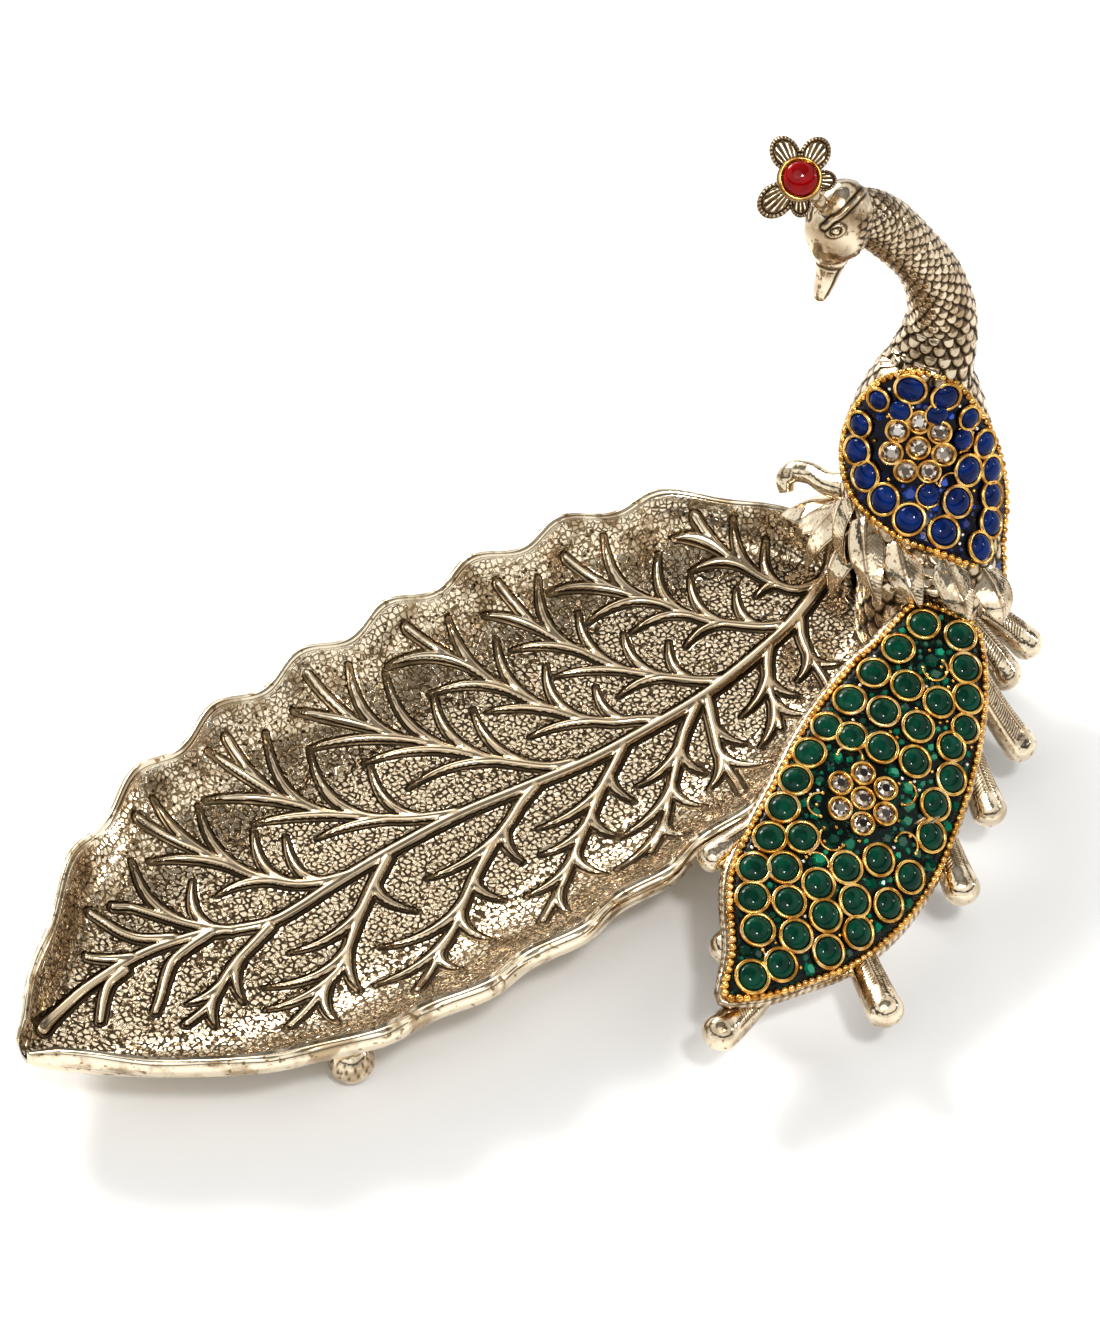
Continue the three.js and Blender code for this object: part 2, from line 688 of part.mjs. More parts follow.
function settingPlate(panel, stones, chips) {
  const { surface, crystals, circle } = panel;
  const radii = fittedRadii(panel, stones, chips);
  const discs = [
    plate(panel, 0, -panelThickness, 0),
    ...setOn(surface, stones, (i) => settingDisc(radii[i])),
    ...setOn(surface, chips, () => settingDisc(chipRadius)),
    ...setOn(surface, [crystals[0]], () => flowerBoss(circle)),
  ];
  const seats = [
    ...setOn(surface, stones, (i) => settingSeat(radii[i], stoneSides)),
    ...setOn(surface, chips, () => settingSeat(chipRadius, stoneSides)),
    ...onBoss(panel, () => settingSeat(crystalRadius, crystalSides)),
  ];
  return Manifold.union(discs).subtract(Manifold.union(seats));
}

// The tail's many stones are joined to their setting.
function tailSetting() {
  const stones = tailStoneRows.flat();
  const radii = fittedRadii(tailPanel, stones, []);
  const stud = (i) => lathe([
    [0, -collarRoot], [radii[i] + cabochonCollar, -collarRoot], [radii[i] + cabochonCollar, collarHeight],
    [0, cabochonHeight],
  ], crystalSides);
  return Manifold.union([settingPlate(tailPanel, [], []), ...setOn(tailPoint, stones, stud)]);
}

// The gold wire round a panel, seated outside its edge.
function borderWire({ surface, outline, edgePoints: count }) {
  const sides = 4;
  const ring = inset(outline, count, -(beadRadius + clearance));
  const rings = ring.map((p, i) => {
    const before = ring[(i + count - 1) % count];
    const after = ring[(i + 1) % count];
    const ahead = new THREE.Vector3().subVectors(after, before).normalize();
    const out = new THREE.Vector3(ahead.y, -ahead.x, 0);
    return Array.from({ length: sides }, (_, k) => {
      const turn = (2 * Math.PI * k) / sides;
      const reach = beadRadius * Math.cos(turn);
      return surface(p.x + out.x * reach, p.y + out.y * reach, beadRadius * Math.sin(turn) - 0.5);
    });
  });
  const places = rings.flat().flatMap((p) => [p.x, p.y, p.z]);
  const corners = [];
  for (let r = 0; r < count; r++) {
    for (let k = 0; k < sides; k++) {
      const [a, b] = [r * sides + k, r * sides + ((k + 1) % sides)];
      const [c, d] = [((r + 1) % count) * sides + ((k + 1) % sides), ((r + 1) % count) * sides + k];
      corners.push(a, b, c, a, c, d);
    }
  }
  const geometry = new THREE.BufferGeometry();
  geometry.setAttribute('position', new THREE.Float32BufferAttribute(places, 3));
  geometry.setIndex(corners);
  const solid = toSolid(geometry);
  if (solid.volume() > 0) return solid;
  geometry.setIndex(corners.reverse());
  return toSolid(geometry);
}

// Body: level slices from the hub to the neck, its back following the panel's arc.
function backSpine(z) {
  const top = Math.sin(backTopTilt) + (backTop.z - z) / backArcRadius;
  const tilt = Math.asin(Math.min(0.95, Math.max(Math.sin(backTopTilt), top)));
  const out = backArcRadius * (Math.cos(backTopTilt) - Math.cos(tilt));
  return backTop.clone().addScaledVector(backOut, out);
}

function bodySlice(centre, halfLong, halfWide, z) {
  return Array.from({ length: 14 }, (_, k) => {
    const turn = (2 * Math.PI * k) / 14;
    return centre.clone().setZ(z)
      .addScaledVector(backOut, halfLong * Math.cos(turn))
      .addScaledVector(backAcross, halfWide * Math.sin(turn));
  });
}

function bodyLoft() {
  const low = new THREE.Vector3(hubX, hubY, 0);
  const rings = [
    bodySlice(low, 15, 15, hubTop + clearance),
    bodySlice(low.clone().addScaledVector(backOut, 1), 20, 18, 54),
    bodySlice(low.clone().addScaledVector(backOut, 3), 25, 20.5, 60),
  ];
  for (const [z, halfLong, halfWide] of [
    [66, 29, 21.5], [72, 26.5, 22], [80, 22.5, 21], [88, 19, 18.5], [96, 15.5, 15.5], [102, 13, 13],
  ]) {
    rings.push(bodySlice(backSpine(z).addScaledVector(backOut, -halfLong), halfLong, halfWide, z));
  }
  return skin(rings);
}

// Pointed body feathers that hang below the back panel.
function petal(angle, topZ, tipZ, reach) {
  const out = new THREE.Vector3(Math.cos(angle), Math.sin(angle), 0);
  const at = (distance, z) => new THREE.Vector3(hubX, hubY, z).addScaledVector(out, distance);
  const side = new THREE.Vector3(-out.y, out.x, 0);
  const line = [
    [reach - 9, 0, 4, 2.5], [reach - 3, 0.3, 6.5, 3], [reach, 0.62, 5.5, 2.6], [reach + 1, 1, 0.8, 0.7],
  ];
  return tube(line.map(([distance, share, wide, high]) => (
    { at: at(distance, topZ + (tipZ - topZ) * share), wide, high })), 6, side);
}

// The space that the back panel and its wire take out of the body and the neck.
function backPanelRoom() {
  const grow = 2 * beadRadius + 2 * clearance;
  return plate(backPanel, grow, -panelThickness - panelBedding, 14);
}

function bodyCasting() {
  const parts = [bodyLoft()];
  const tailAngle = Math.atan2(tailHeading.y, tailHeading.x);
  for (let i = 0; i < 9; i++) {
    const angle = tailAngle - 0.35 + (i * 2 * Math.PI) / 9;
    const overTail = Math.cos(angle - tailAngle - 0.45) > 0.55;
    parts.push(petal(angle, 68, overTail ? 61 : 50, overTail ? 25 : 22));
  }
  const panelRoom = backPanelRoom();
  const bolt = cylinder(boltRadius + clearance, 40, hubTop + boltReach + clearance, 10, hubX, hubY);
  const flatBase = cylinder(60, 30, hubTop + clearance, 12, hubX, hubY);
  const [x, z, radius] = neckLine[0];
  const socket = cylinder(spigotRadius + clearance, z - spigotLength - clearance, z + 20, 14, x, neckPlaneY);
  const neckRoom = cylinder(radius + 8, z, z + 40, 14, x, neckPlaneY);
  const cuts = Manifold.union([panelRoom, bolt, flatBase, socket, neckRoom]);
  return lightened(Manifold.union(parts).subtract(cuts), castTolerance);
}

// Neck and head in one casting.
function neckAndHead() {
  const side = new THREE.Vector3(0, 1, 0);
  const path = new THREE.CatmullRomCurve3(neckLine.map(([x, z, r]) => new THREE.Vector3(x, r, z)));
  const steps = 13;
  const stations = Array.from({ length: steps + 1 }, (_, i) => {
    const p = path.getPoint(i / steps);
    return { at: new THREE.Vector3(p.x, neckPlaneY, p.z), wide: p.y, high: p.y };
  });
  const base = neckLine[0];
  const spigot = cylinder(spigotRadius, base[1] - spigotLength, base[1] + 4, 14, base[0], neckPlaneY);
  const head = toSolid(new THREE.SphereGeometry(1, 12, 8))
    .scale([headRadii[2], headRadii[0], headRadii[1]])
    .transform(new THREE.Matrix4().makeRotationY(headBow).setPosition(headCentre).elements);
  const down = new THREE.Vector3(-Math.sin(headBow), 0, -Math.cos(headBow));
  const brow = headCentre.clone().addScaledVector(down, 6);
  const beakLine = [
    [0, 4.6, 4.6], [0.35, 3.9, 3.7], [0.4, 3.3, 3.4], [0.75, 2.2, 2.2], [0.96, 1, 1], [1, 0.4, 0.4],
  ];
  const beak = tube(beakLine.map(([share, wide, high]) => ({
    at: brow.clone().addScaledVector(down, share * (beakLength + 4)), wide: wide * (beakRadius / 3.7), high,
  })), 10, side);
  const casting = Manifold.union([tube(stations, 10, side), spigot, head, beak]);
  const seatCut = cylinder(60, base[1] - 30, base[1] + clearance, 12, base[0], neckPlaneY)
    .subtract(cylinder(spigotRadius, base[1] - 40, base[1] + 1, 14, base[0], neckPlaneY));
  const cuts = Manifold.union([seatCut, crestPeg(clearance), backPanelRoom()]);
  return lightened(casting.subtract(cuts), castTolerance);
}

// Crest: a five-petal flower that faces the viewer, pegged into the crown.
const crestFace = new THREE.Vector3(
  Math.sin(viewHeading) * Math.cos(viewRise), -Math.cos(viewHeading) * Math.cos(viewRise), Math.sin(viewRise),
);
const crestRight = new THREE.Vector3(Math.cos(viewHeading), Math.sin(viewHeading), 0);
const crestUp = new THREE.Vector3().crossVectors(crestFace, crestRight);

function crestPeg(grow) {
  const away = new THREE.Vector3().subVectors(headCentre, crestCentre).normalize();
  const seat = headCentre.clone().addScaledVector(away, -headRadii[1]);
  const length = seat.distanceTo(crestCentre) + crestPegSeat + grow;
  return place(cylinder(crestPegRadius + grow, 0, length, 8), crestCentre, away);
}

function crestFrame(solid) {
  const matrix = new THREE.Matrix4().makeBasis(crestRight, crestUp, crestFace).setPosition(crestCentre);
  return solid.transform(matrix.elements);
}

function crestFlower() {
  const blank = lathe([[0, -1.2], [5.6, -1.2], [5.6, 1.2], [0, 1.2]], 16);
  const leaves = crestPetalAngles.map((degrees) => {
    const turn = THREE.MathUtils.degToRad(degrees);
    return toSolid(new THREE.SphereGeometry(1, 8, 4))
      .scale([crestPetalRadius * 1.15, crestPetalRadius * 0.92, crestThickness / 2])
      .rotate([0, 0, degrees])
      .translate([crestPetalReach * Math.cos(turn), crestPetalReach * Math.sin(turn), 0]);
  });
  return lightened(crestFrame(Manifold.union([blank, ...leaves])).add(crestPeg(0)), castTolerance);
}

const crestSeat = 1.2 + clearance;

function crestBezel() {
  const inner = crestStoneRadius + clearance;
  const outer = inner + crestBezelWall;
  return crestFrame(lathe([
    [0, crestSeat], [outer, crestSeat], [outer, crestSeat + crestBezelHeight],
    [inner, crestSeat + crestBezelHeight], [inner, crestSeat + 0.5], [0, crestSeat + 0.5],
  ], 14));
}

function crestStone() {
  const seat = crestSeat + 0.5 + clearance;
  return crestFrame(lathe([
    [0, seat], [crestStoneRadius, seat], [0.8 * crestStoneRadius, seat + 0.7 * crestStoneHeight],
    [0, seat + crestStoneHeight],
  ], 14));
}

// Feather base: hub, tail plate and the fingers that fan out from them.
function finger(tip, start, arch, radius = fingerRadius) {
  const end = new THREE.Vector3(...tip);
  const middle = start.clone().lerp(end, 0.5).add(new THREE.Vector3(0, 0, arch));
  const path = new THREE.QuadraticBezierCurve3(start, middle, end);
  const ahead = path.getTangent(1);
  const side = new THREE.Vector3(-ahead.y, ahead.x, 0).normalize();
  const stations = [0, 0.5, 1].map((share) => (
    { at: path.getPoint(share), wide: radius * (0.75 + 0.2 * share), high: radius * (0.8 + 0.15 * share) }));
  for (const [reach, size] of [[0.5, 0.8], [0.9, 0.3]]) {
    stations.push({
      at: end.clone().addScaledVector(ahead, radius * reach), wide: radius * size, high: radius * size,
    });
  }
  return tube(stations, 6, side);
}

function featherBase() {
  const hub = lathe([
    [0, hubBottom], [hubFootRadius, hubBottom], [hubTopRadius, 24], [hubTopRadius, 38],
    [hubTopRadius - 1, hubTop], [0, hubTop],
  ], 18).translate([hubX, hubY, 0]);
  const underPlate = plate(tailPanel, skirtReach, -panelThickness - clearance - tailPlateThickness, 0, 24);
  const spine = tube([
    { at: new THREE.Vector3(hubX, hubY, 34), wide: 13, high: 11 },
    { at: tailPoint(-58, 1, -9), wide: 12, high: 8 },
    { at: tailPoint(-30, 6, -9), wide: 12, high: 7 },
    { at: tailPoint(10, 8, -8.5), wide: 11, high: 6 },
    { at: tailPoint(45, 6, -7), wide: 7, high: 5 },
  ], 8, new THREE.Vector3(0.39, -0.92, 0));
  const posts = [
    cylinder(bossRadius, bossBottom, tailPoint(-18, 4).z - 10, 12, ...tailFootSpot),
    cylinder(bossRadius, bossBottom, hubBottom + 2, 12, ...birdFootSpot),
  ];
  const rods = [
    ...tailFingers.map(({ tip, root }) => finger(tip, tailPoint(...root, -fingerDepth), 0)),
    ...hubFingers.map(({ tip, root }) => finger(tip, new THREE.Vector3(...root), 2.5)),
    ...curls.map(({ tip, root }) => finger(tip, new THREE.Vector3(...root), 3, curlRadius)),
    finger(rimFinger.tip, tailPoint(...rimFinger.root, -fingerDepth + 2), 0, rimFingerRadius),
  ];
  let base = Manifold.union([hub, underPlate, spine, ...posts, ...rods]);
  const panelRoom = plate(tailPanel, 2 * beadRadius + 2 * clearance, -panelThickness - clearance, 30);
  base = base.subtract(panelRoom);
  const flatTop = cylinder(60, hubTop, hubTop + 60, 12, hubX, hubY);
  base = base.subtract(flatTop);
  for (const [x, y] of [tailFootSpot, birdFootSpot]) base = base.subtract(studHole(x, y));
  base = base.subtract(cylinder(boltRadius + clearance, 0, 80, 10, hubX, hubY));
  const headTop = hubBottom + boltHeadHeight + clearance;
  base = base.subtract(cylinder(boltHeadRadius + clearance, 0, headTop, 14, hubX, hubY));
  const gripTop = tongueTop + trayScrewGrip + 2 * clearance;
  for (const [x, y] of traySpots) {
    base = base.subtract(cylinder(trayScrewRadius + clearance, 0, gripTop, 10, x, y));
  }
  return lightened(base, castTolerance);
}

function bodyBolt() {
  return lathe([
    [0, hubBottom], [boltHeadRadius, hubBottom], [boltHeadRadius, hubBottom + boltHeadHeight],
    [boltRadius, hubBottom + boltHeadHeight], [boltRadius, hubTop + boltReach], [0, hubTop + boltReach],
  ], 10).translate([hubX, hubY, clearance / 2]);
}

function trayScrew(x, y) {
  const under = tongueBottom - clearance;
  return lathe([
    [0, under - trayScrewHeadHeight], [trayScrewHeadRadius, under - trayScrewHeadHeight],
    [trayScrewHeadRadius, under], [trayScrewRadius, under], [trayScrewRadius, tongueTop + trayScrewGrip],
    [0, tongueTop + trayScrewGrip],
  ], 10).translate([x, y, 0]);
}

const metals = {
  silver: { color: 0xc9bda6, roughness: 0.28, metalness: 1 },
  gold: { color: 0xd9a036, roughness: 0.3, metalness: 1 },
  steel: { color: 0x9a9a98, roughness: 0.4, metalness: 1 },
  blue: { color: 0x10226b, roughness: 0.12, metalness: 0 },
  green: { color: 0x04472c, roughness: 0.12, metalness: 0 },
  clear: { color: 0xe9e4dc, roughness: 0.05, metalness: 0 },
  red: { color: 0xa80c12, roughness: 0.1, metalness: 0 },
};

const group = new THREE.Group();

function add(name, solid, metal) {
  const mesh = new THREE.Mesh(toGeometry(solid), new THREE.MeshStandardMaterial(metals[metal]));
  mesh.name = name;
  group.add(mesh);
}

add('leaf_tray', leafTray(), 'silver');
for (const [name, [x, y]] of Object.entries(footSpots)) add(name, ballFoot().translate([x, y, 0]), 'silver');
add('foot_tail', ballFoot().translate([...tailFootSpot, 0]), 'silver');
add('foot_bird', ballFoot().translate([...birdFootSpot, 0]), 'silver');
traySpots.forEach(([x, y], i) => add(`tray_screw_${i + 1}`, trayScrew(x, y), 'steel'));
add('feather_base', featherBase(), 'silver');
add('body_bolt', bodyBolt(), 'steel');
add('body_casting', bodyCasting(), 'silver');
add('neck_and_head', neckAndHead(), 'silver');
add('crest_flower', crestFlower(), 'silver');
add('crest_bezel', crestBezel(), 'gold');
add('crest_stone', crestStone(), 'red');
add('back_setting', settingPlate(backPanel, backStones, backChips), 'gold');
add('back_border', borderWire(backPanel), 'gold');
add('tail_setting', tailSetting(), 'gold');
add('tail_border', borderWire(tailPanel), 'gold');

function numbered(name, i) {
  return `${name}_${String(i + 1).padStart(2, '0')}`;
}

const backRadii = fittedRadii(backPanel, backStones, backChips);
setOn(backPoint, backStones, (i) => cabochon(backRadii[i], cabochonHeight, stoneSides))
  .forEach((solid, i) => add(numbered('back_stone', i), solid, 'blue'));
setOn(backPoint, backChips, () => cabochon(chipRadius, crystalHeight, stoneSides))
  .forEach((solid, i) => add(numbered('back_chip', i), solid, 'blue'));
for (const [name, panel] of [['back_crystal', backPanel], ['tail_crystal', tailPanel]]) {
  onBoss(panel, () => crystal(crystalRadius, crystalHeight, crystalSides))
    .forEach((solid, i) => add(numbered(name, i), solid, 'clear'));
}

const footprint = new THREE.Box3().setFromObject(group);
group.position.set(
  -(footprint.min.x + footprint.max.x) / 2,
  -(footprint.min.y + footprint.max.y) / 2,
  -footprint.min.z,
);

export default group;
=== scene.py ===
import math
import random

import bmesh
import bpy
import numpy as np
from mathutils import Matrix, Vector


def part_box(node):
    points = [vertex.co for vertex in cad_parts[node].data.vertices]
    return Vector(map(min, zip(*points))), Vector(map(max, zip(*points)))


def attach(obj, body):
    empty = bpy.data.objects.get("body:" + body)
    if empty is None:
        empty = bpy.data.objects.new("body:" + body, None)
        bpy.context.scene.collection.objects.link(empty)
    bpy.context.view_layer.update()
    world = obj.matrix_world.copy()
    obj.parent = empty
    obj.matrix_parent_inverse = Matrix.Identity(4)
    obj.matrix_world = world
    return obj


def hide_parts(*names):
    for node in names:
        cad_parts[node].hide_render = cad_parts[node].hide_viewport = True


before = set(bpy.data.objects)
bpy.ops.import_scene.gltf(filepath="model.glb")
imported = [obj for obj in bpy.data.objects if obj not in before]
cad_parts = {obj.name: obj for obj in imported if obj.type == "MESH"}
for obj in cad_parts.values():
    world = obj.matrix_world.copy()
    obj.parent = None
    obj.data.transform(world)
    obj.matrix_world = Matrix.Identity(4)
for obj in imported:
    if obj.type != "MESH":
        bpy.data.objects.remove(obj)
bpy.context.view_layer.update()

# The drawing has x along the leaf from its tip, y to the back and z up, in millimetres.
tailFootSpot = np.array([226.0, -86.0, 0.0])
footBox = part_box("foot_tail")
shift = np.array([(a + b) * 500 for a, b in zip(*footBox)]) - tailFootSpot
shift[2] = 0.0


def metres(points):
    return (np.asarray(points, dtype=float) + shift) / 1000


# Finishes. A wire is a shader socket that can be added, multiplied and subtracted.
class Wire:
    def __init__(self, finish, socket):
        self.finish, self.socket = finish, socket

    def maths(self, operation, *values):
        return self.finish.node("ShaderNodeMath", {"operation": operation}, dict(enumerate(values)))

    def __add__(self, other):
        return self.maths("ADD", self, other)

    __radd__ = __add__

    def __mul__(self, other):
        return self.maths("MULTIPLY", self, other)

    __rmul__ = __mul__

    def __sub__(self, other):
        return self.maths("SUBTRACT", self, other)

    def __rsub__(self, other):
        return self.maths("SUBTRACT", other, self)

    def between(self, low, high):
        return self.finish.node(
            "ShaderNodeMapRange",
            {"interpolation_type": "SMOOTHSTEP"},
            {"Value": self, "From Min": low, "From Max": high},
        )


# One material: constants go to its shader's own sockets, and wires through shade().
class Finish:
    def __init__(self, name, **constants):
        self.material = bpy.data.materials.new(name)
        self.material.use_nodes = True
        self.tree = self.material.node_tree
        self.shader = self.tree.nodes["Principled BSDF"]
        for socket, value in constants.items():
            self.shader.inputs[socket.replace("_", " ")].default_value = value

    def node(self, kind, settings=None, sockets=None, out=0):
        made = self.tree.nodes.new(kind)
        for key, value in (settings or {}).items():
            if key == "stops":
                ramp = made.color_ramp
                for _ in range(len(value) - 2):
                    ramp.elements.new(0.5)
                for element, (place, colour) in zip(ramp.elements, value):
                    element.position, element.color = place, (*colour, 1)
            else:
                setattr(made, key, value)
        for key, value in (sockets or {}).items():
            if isinstance(value, Wire):
                self.tree.links.new(value.socket, made.inputs[key])
            else:
                made.inputs[key].default_value = value
        return Wire(self, made.outputs[out])

    def place(self):  # the place on the object
        return self.node("ShaderNodeTexCoord", out=3)

    def mark(self, name):  # a value kept on the mesh
        return self.node("ShaderNodeAttribute", {"attribute_name": name}, out=2)

    def noise(self, grain, detail=3.0, **more):  # grain in millimetres
        sockets = {"Vector": self.place(), "Scale": 1000 / grain, "Detail": detail}
        return self.node("ShaderNodeTexNoise", None, {**sockets, **more})

    def cells(self, size, feature="F1", out=0, **more):
        sockets = {"Vector": self.place(), "Scale": 1000 / size}
        return self.node("ShaderNodeTexVoronoi", {"feature": feature}, {**sockets, **more}, out)

    def ramp(self, value, stops):
        return self.node("ShaderNodeValToRGB", {"stops": stops}, {"Fac": value})

    def blend(self, factor, first, second):
        pair = [(*c, 1) if isinstance(c, tuple) and len(c) == 3 else c for c in (first, second)]
        return self.node("ShaderNodeMix", {"data_type": "RGBA"}, {0: factor, 6: pair[0], 7: pair[1]}, 2)

    def shade(self, **links):
        for socket, wire in links.items():
            self.tree.links.new(wire.socket, self.shader.inputs[socket.replace("_", " ")])

    def relief(self, height, depth, strength=1.0):
        dent = self.node("ShaderNodeBump", None, {"Height": height, "Distance": depth / 1000, "Strength": strength})
        self.shade(Normal=dent)


# Silver from its black recesses to its worn crests. Grains, cells and dents are in millimetres, the rest are shares.
silver = dict(
    dish=[(0.0, (0.010, 0.007, 0.004)), (0.45, (0.37, 0.25, 0.13)), (1.0, (0.95, 0.82, 0.62))],
    bird=[(0.0, (0.008, 0.005, 0.003)), (0.5, (0.33, 0.22, 0.12)), (1.0, (0.86, 0.73, 0.54))],
    roughness=0.31, buffing=0.20,
)
dishLook = dict(
    pebbleCell=1.65, pebbleWeb=0.98, webLostOnWall=0.3, brokenGrain=1.5, pitCell=2.1, pitDarkness=0.95,
    blotchGrain=8, paintedWallMottle=0.45, floorPolish=0.86, veinDulling=0.22, paintedWallHighlight=0.14, outline=0.95,
    outlineLostOnWall=0.35, speckGrain=2.2, lipSpecks=0.6,
)
birdLook = dict(blotchGrain=7, blotches=0.3, speckGrain=1.6, specks=0.5, dentGrain=3.0, dentDepth=0.35)


def patina(finish, tone, stops):
    roughness = silver["roughness"] - tone * silver["buffing"]
    finish.shade(Base_Color=finish.ramp(tone, stops), Roughness=roughness)


# Silver of the dish: the gap mark is the distance from the nearest vein's edge in millimetres.
def dishSilver(name):
    finish, look = Finish(name, Metallic=1.0), dishLook
    gap, wall, lip = finish.mark("gap"), finish.mark("wall"), finish.mark("lip")
    inside = 1 - gap.between(-0.25, 0.15)
    line = gap.between(-0.15, 0.1) * (1 - gap.between(0.65, 1.3))
    ground = gap.between(0.6, 1.1) * (1 - lip)
    edge = finish.cells(look["pebbleCell"], "DISTANCE_TO_EDGE", Randomness=0.8)
    pebble = edge.between(0.05, 0.21 - wall * 0.08)
    broken = finish.noise(look["brokenGrain"], 1.0).between(0.38, 0.52)
    pit = finish.cells(look["pitCell"], Randomness=1.0).between(0.16, 0.30)
    blotch = finish.noise(look["blotchGrain"], 4.0).between(0.47, 0.62)
    speck = finish.noise(look["speckGrain"], 3.0).between(0.60, 0.68)
    slope = wall.between(0.03, 0.35)
    web = ground * (1 - pebble) * broken * (look["pebbleWeb"] - slope * look["webLostOnWall"])
    pits = (1 - web) * (1 - ground * (1 - pit) * slope * look["pitDarkness"])
    # Painted reflection: dark mottled blotches painted on the steep walls only.
    paintedWallMottle = 1 - blotch * slope * look["paintedWallMottle"]
    veins = inside * look["veinDulling"] * (1 - slope * 0.5)
    # Painted highlight: the steep walls are painted lighter than the floor.
    polish = look["floorPolish"] - veins + slope * look["paintedWallHighlight"]
    outline = 1 - line * look["outline"] * (1 - wall * look["outlineLostOnWall"])
    tone = polish * pits * paintedWallMottle * outline * (1 - speck * lip * look["lipSpecks"])
    patina(finish, tone, silver["dish"])
    finish.relief(pebble * ground * 0.5 + (1 - line) * 0.5, 1.0)
    return finish.material


# Silver of the bird: the worn mark is the polish, from the bottoms of the engraving to its crests; on the head it also
# carries painted reflection bands, and on the feather fingers a painted darker reflection on their sides and
# undersides.
def birdSilver(name):
    finish, look = Finish(name, Metallic=1.0), birdLook
    blotch = finish.noise(look["blotchGrain"], 4.0).between(0.48, 0.66)
    speck = finish.noise(look["speckGrain"], 3.0).between(0.58, 0.68)
    tone = finish.mark("worn") * (1 - blotch * look["blotches"]) * (1 - speck * look["specks"])
    patina(finish, tone, silver["bird"])
    finish.relief(finish.noise(look["dentGrain"], 2.0), look["dentDepth"], 0.7)
    return finish.material


print("finishes ready")


# Geometry helpers
def bump(x, middle, spread):  # a smooth hill one unit high
    return np.exp(-(((x - middle) / spread) ** 2))


def around(count):  # angles of a full turn
    return np.linspace(0, 2 * np.pi, count, endpoint=False)


def stripes(run, pitch):  # waves from nought to one
    return np.sin(np.pi * run / pitch) ** 2


def bent(start, middle, end, t):  # a curve from start to end that leans to the middle point
    s = t[:, None]
    return start * (1 - s) ** 2 + 2 * middle * s * (1 - s) + end * s**2


def runAlong(path):  # the length from the start to each point
    steps = np.linalg.norm(np.diff(np.asarray(path), axis=0), axis=1)
    return np.concatenate([[0], np.cumsum(steps)])


# Points of a profile along an arc, as radius and height, with the angles in degrees.
def arc(low, high, count, radius, foot, height):
    turns = np.radians(np.linspace(low, high, count))
    return [(radius * math.cos(a), foot + height * math.sin(a)) for a in turns]


def unit(v):
    v = np.asarray(v, dtype=float)
    return v / np.maximum(np.linalg.norm(v, axis=-1, keepdims=True), 1e-12)


# A smooth line through the points, cut into equal steps.
def curve(points, count, closed=False):
    p = np.asarray(points, dtype=float)
    n = len(p)
    spans = n if closed else n - 1
    at = np.linspace(0, spans, spans * 16 + 1)
    i = np.minimum(at.astype(int), spans - 1)
    t = (at - i)[:, None]

    def pick(k):
        return p[(i + k) % n] if closed else p[np.clip(i + k, 0, n - 1)]

    a, b, c, d = pick(-1), pick(0), pick(1), pick(2)
    fine = 0.5 * (2 * b + (c - a) * t + (2 * a - 5 * b + 4 * c - d) * t**2 + (3 * b - 3 * c + d - a) * t**3)
    run = runAlong(fine)
    stops = np.linspace(0, run[-1], count + 1 if closed else count)
    even = np.stack([np.interp(stops, run, fine[:, k]) for k in range(fine.shape[1])], 1)
    return even[:-1] if closed else even


# Gathers the parts of one piece, in millimetres of the drawing.
class Casting:
    def __init__(self):
        self.points, self.faces, self.finishes, self.marks = [], [], [], {}
        self.count = 0

    def add(self, points, faces, finish=0, **marks):
        points = np.asarray(points, dtype=float).reshape(-1, 3)
        self.faces += [[k + self.count for k in face] for face in faces]
        self.finishes += [finish] * len(faces)
        for name, values in marks.items():
            self.marks.setdefault(name, []).append((self.count, np.broadcast_to(values, (len(points),))))
        self.points.append(points)
        self.count += len(points)

    # A face with corners of its own, so that its marks stay flat over it.
    def facet(self, points, corners, finish=0, **marks):
        self.add([points[k] for k in corners], [list(range(len(corners)))], finish, **marks)

    # Faces between rings of points, closed at both ends unless the rings go round.
    def loft(self, rings, finish=0, round=False, **marks):
        rings = np.asarray(rings, dtype=float)
        n, m = rings.shape[:2]
        faces = []
        for i in range(n if round else n - 1):
            a, b = i * m, ((i + 1) % n) * m
            faces += [[a + j, a + (j + 1) % m, b + (j + 1) % m, b + j] for j in range(m)]
        points = rings.reshape(-1, 3)
        values = {k: np.broadcast_to(v, (n, m)).reshape(-1) for k, v in marks.items()}
        if not round:
            points = np.concatenate([points, rings[0].mean(0)[None], rings[-1].mean(0)[None]])
            values = {k: np.concatenate([v, [v[0], v[-1]]]) for k, v in values.items()}
            faces += [[n * m, (j + 1) % m, j] for j in range(m)]
            faces += [[n * m + 1, (n - 1) * m + j, (n - 1) * m + (j + 1) % m] for j in range(m)]
        self.add(points, faces, finish, **values)

    def make(self, name, finishes, nodes=(), smooth=True):
        mesh = bpy.data.meshes.new(name)
        mesh.from_pydata(metres(np.concatenate(self.points)).tolist(), [], self.faces)
        for mark, parts in self.marks.items():
            values = np.ones(self.count, dtype=np.float32)
            for start, part in parts:
                values[start:start + len(part)] = part
            mesh.attributes.new(mark, "FLOAT", "POINT").data.foreach_set("value", values)
        for finish in finishes:
            mesh.materials.append(finish)
        mesh.polygons.foreach_set("material_index", self.finishes)
        mesh.polygons.foreach_set("use_smooth", [smooth] * len(self.faces))
        mesh.validate()
        mesh.update()
        piece = bpy.data.objects.new(name, mesh)
        bpy.context.scene.collection.objects.link(piece)
        turnOut(mesh)
        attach(piece, "root")
        if nodes:
            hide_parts(*nodes)
        print(name, len(mesh.polygons), "faces")


# Turns every face outwards.
def turnOut(mesh):
    work = bmesh.new()
    work.from_mesh(mesh)
    bmesh.ops.recalc_face_normals(work, faces=work.faces)
    work.to_mesh(mesh)
    work.free()


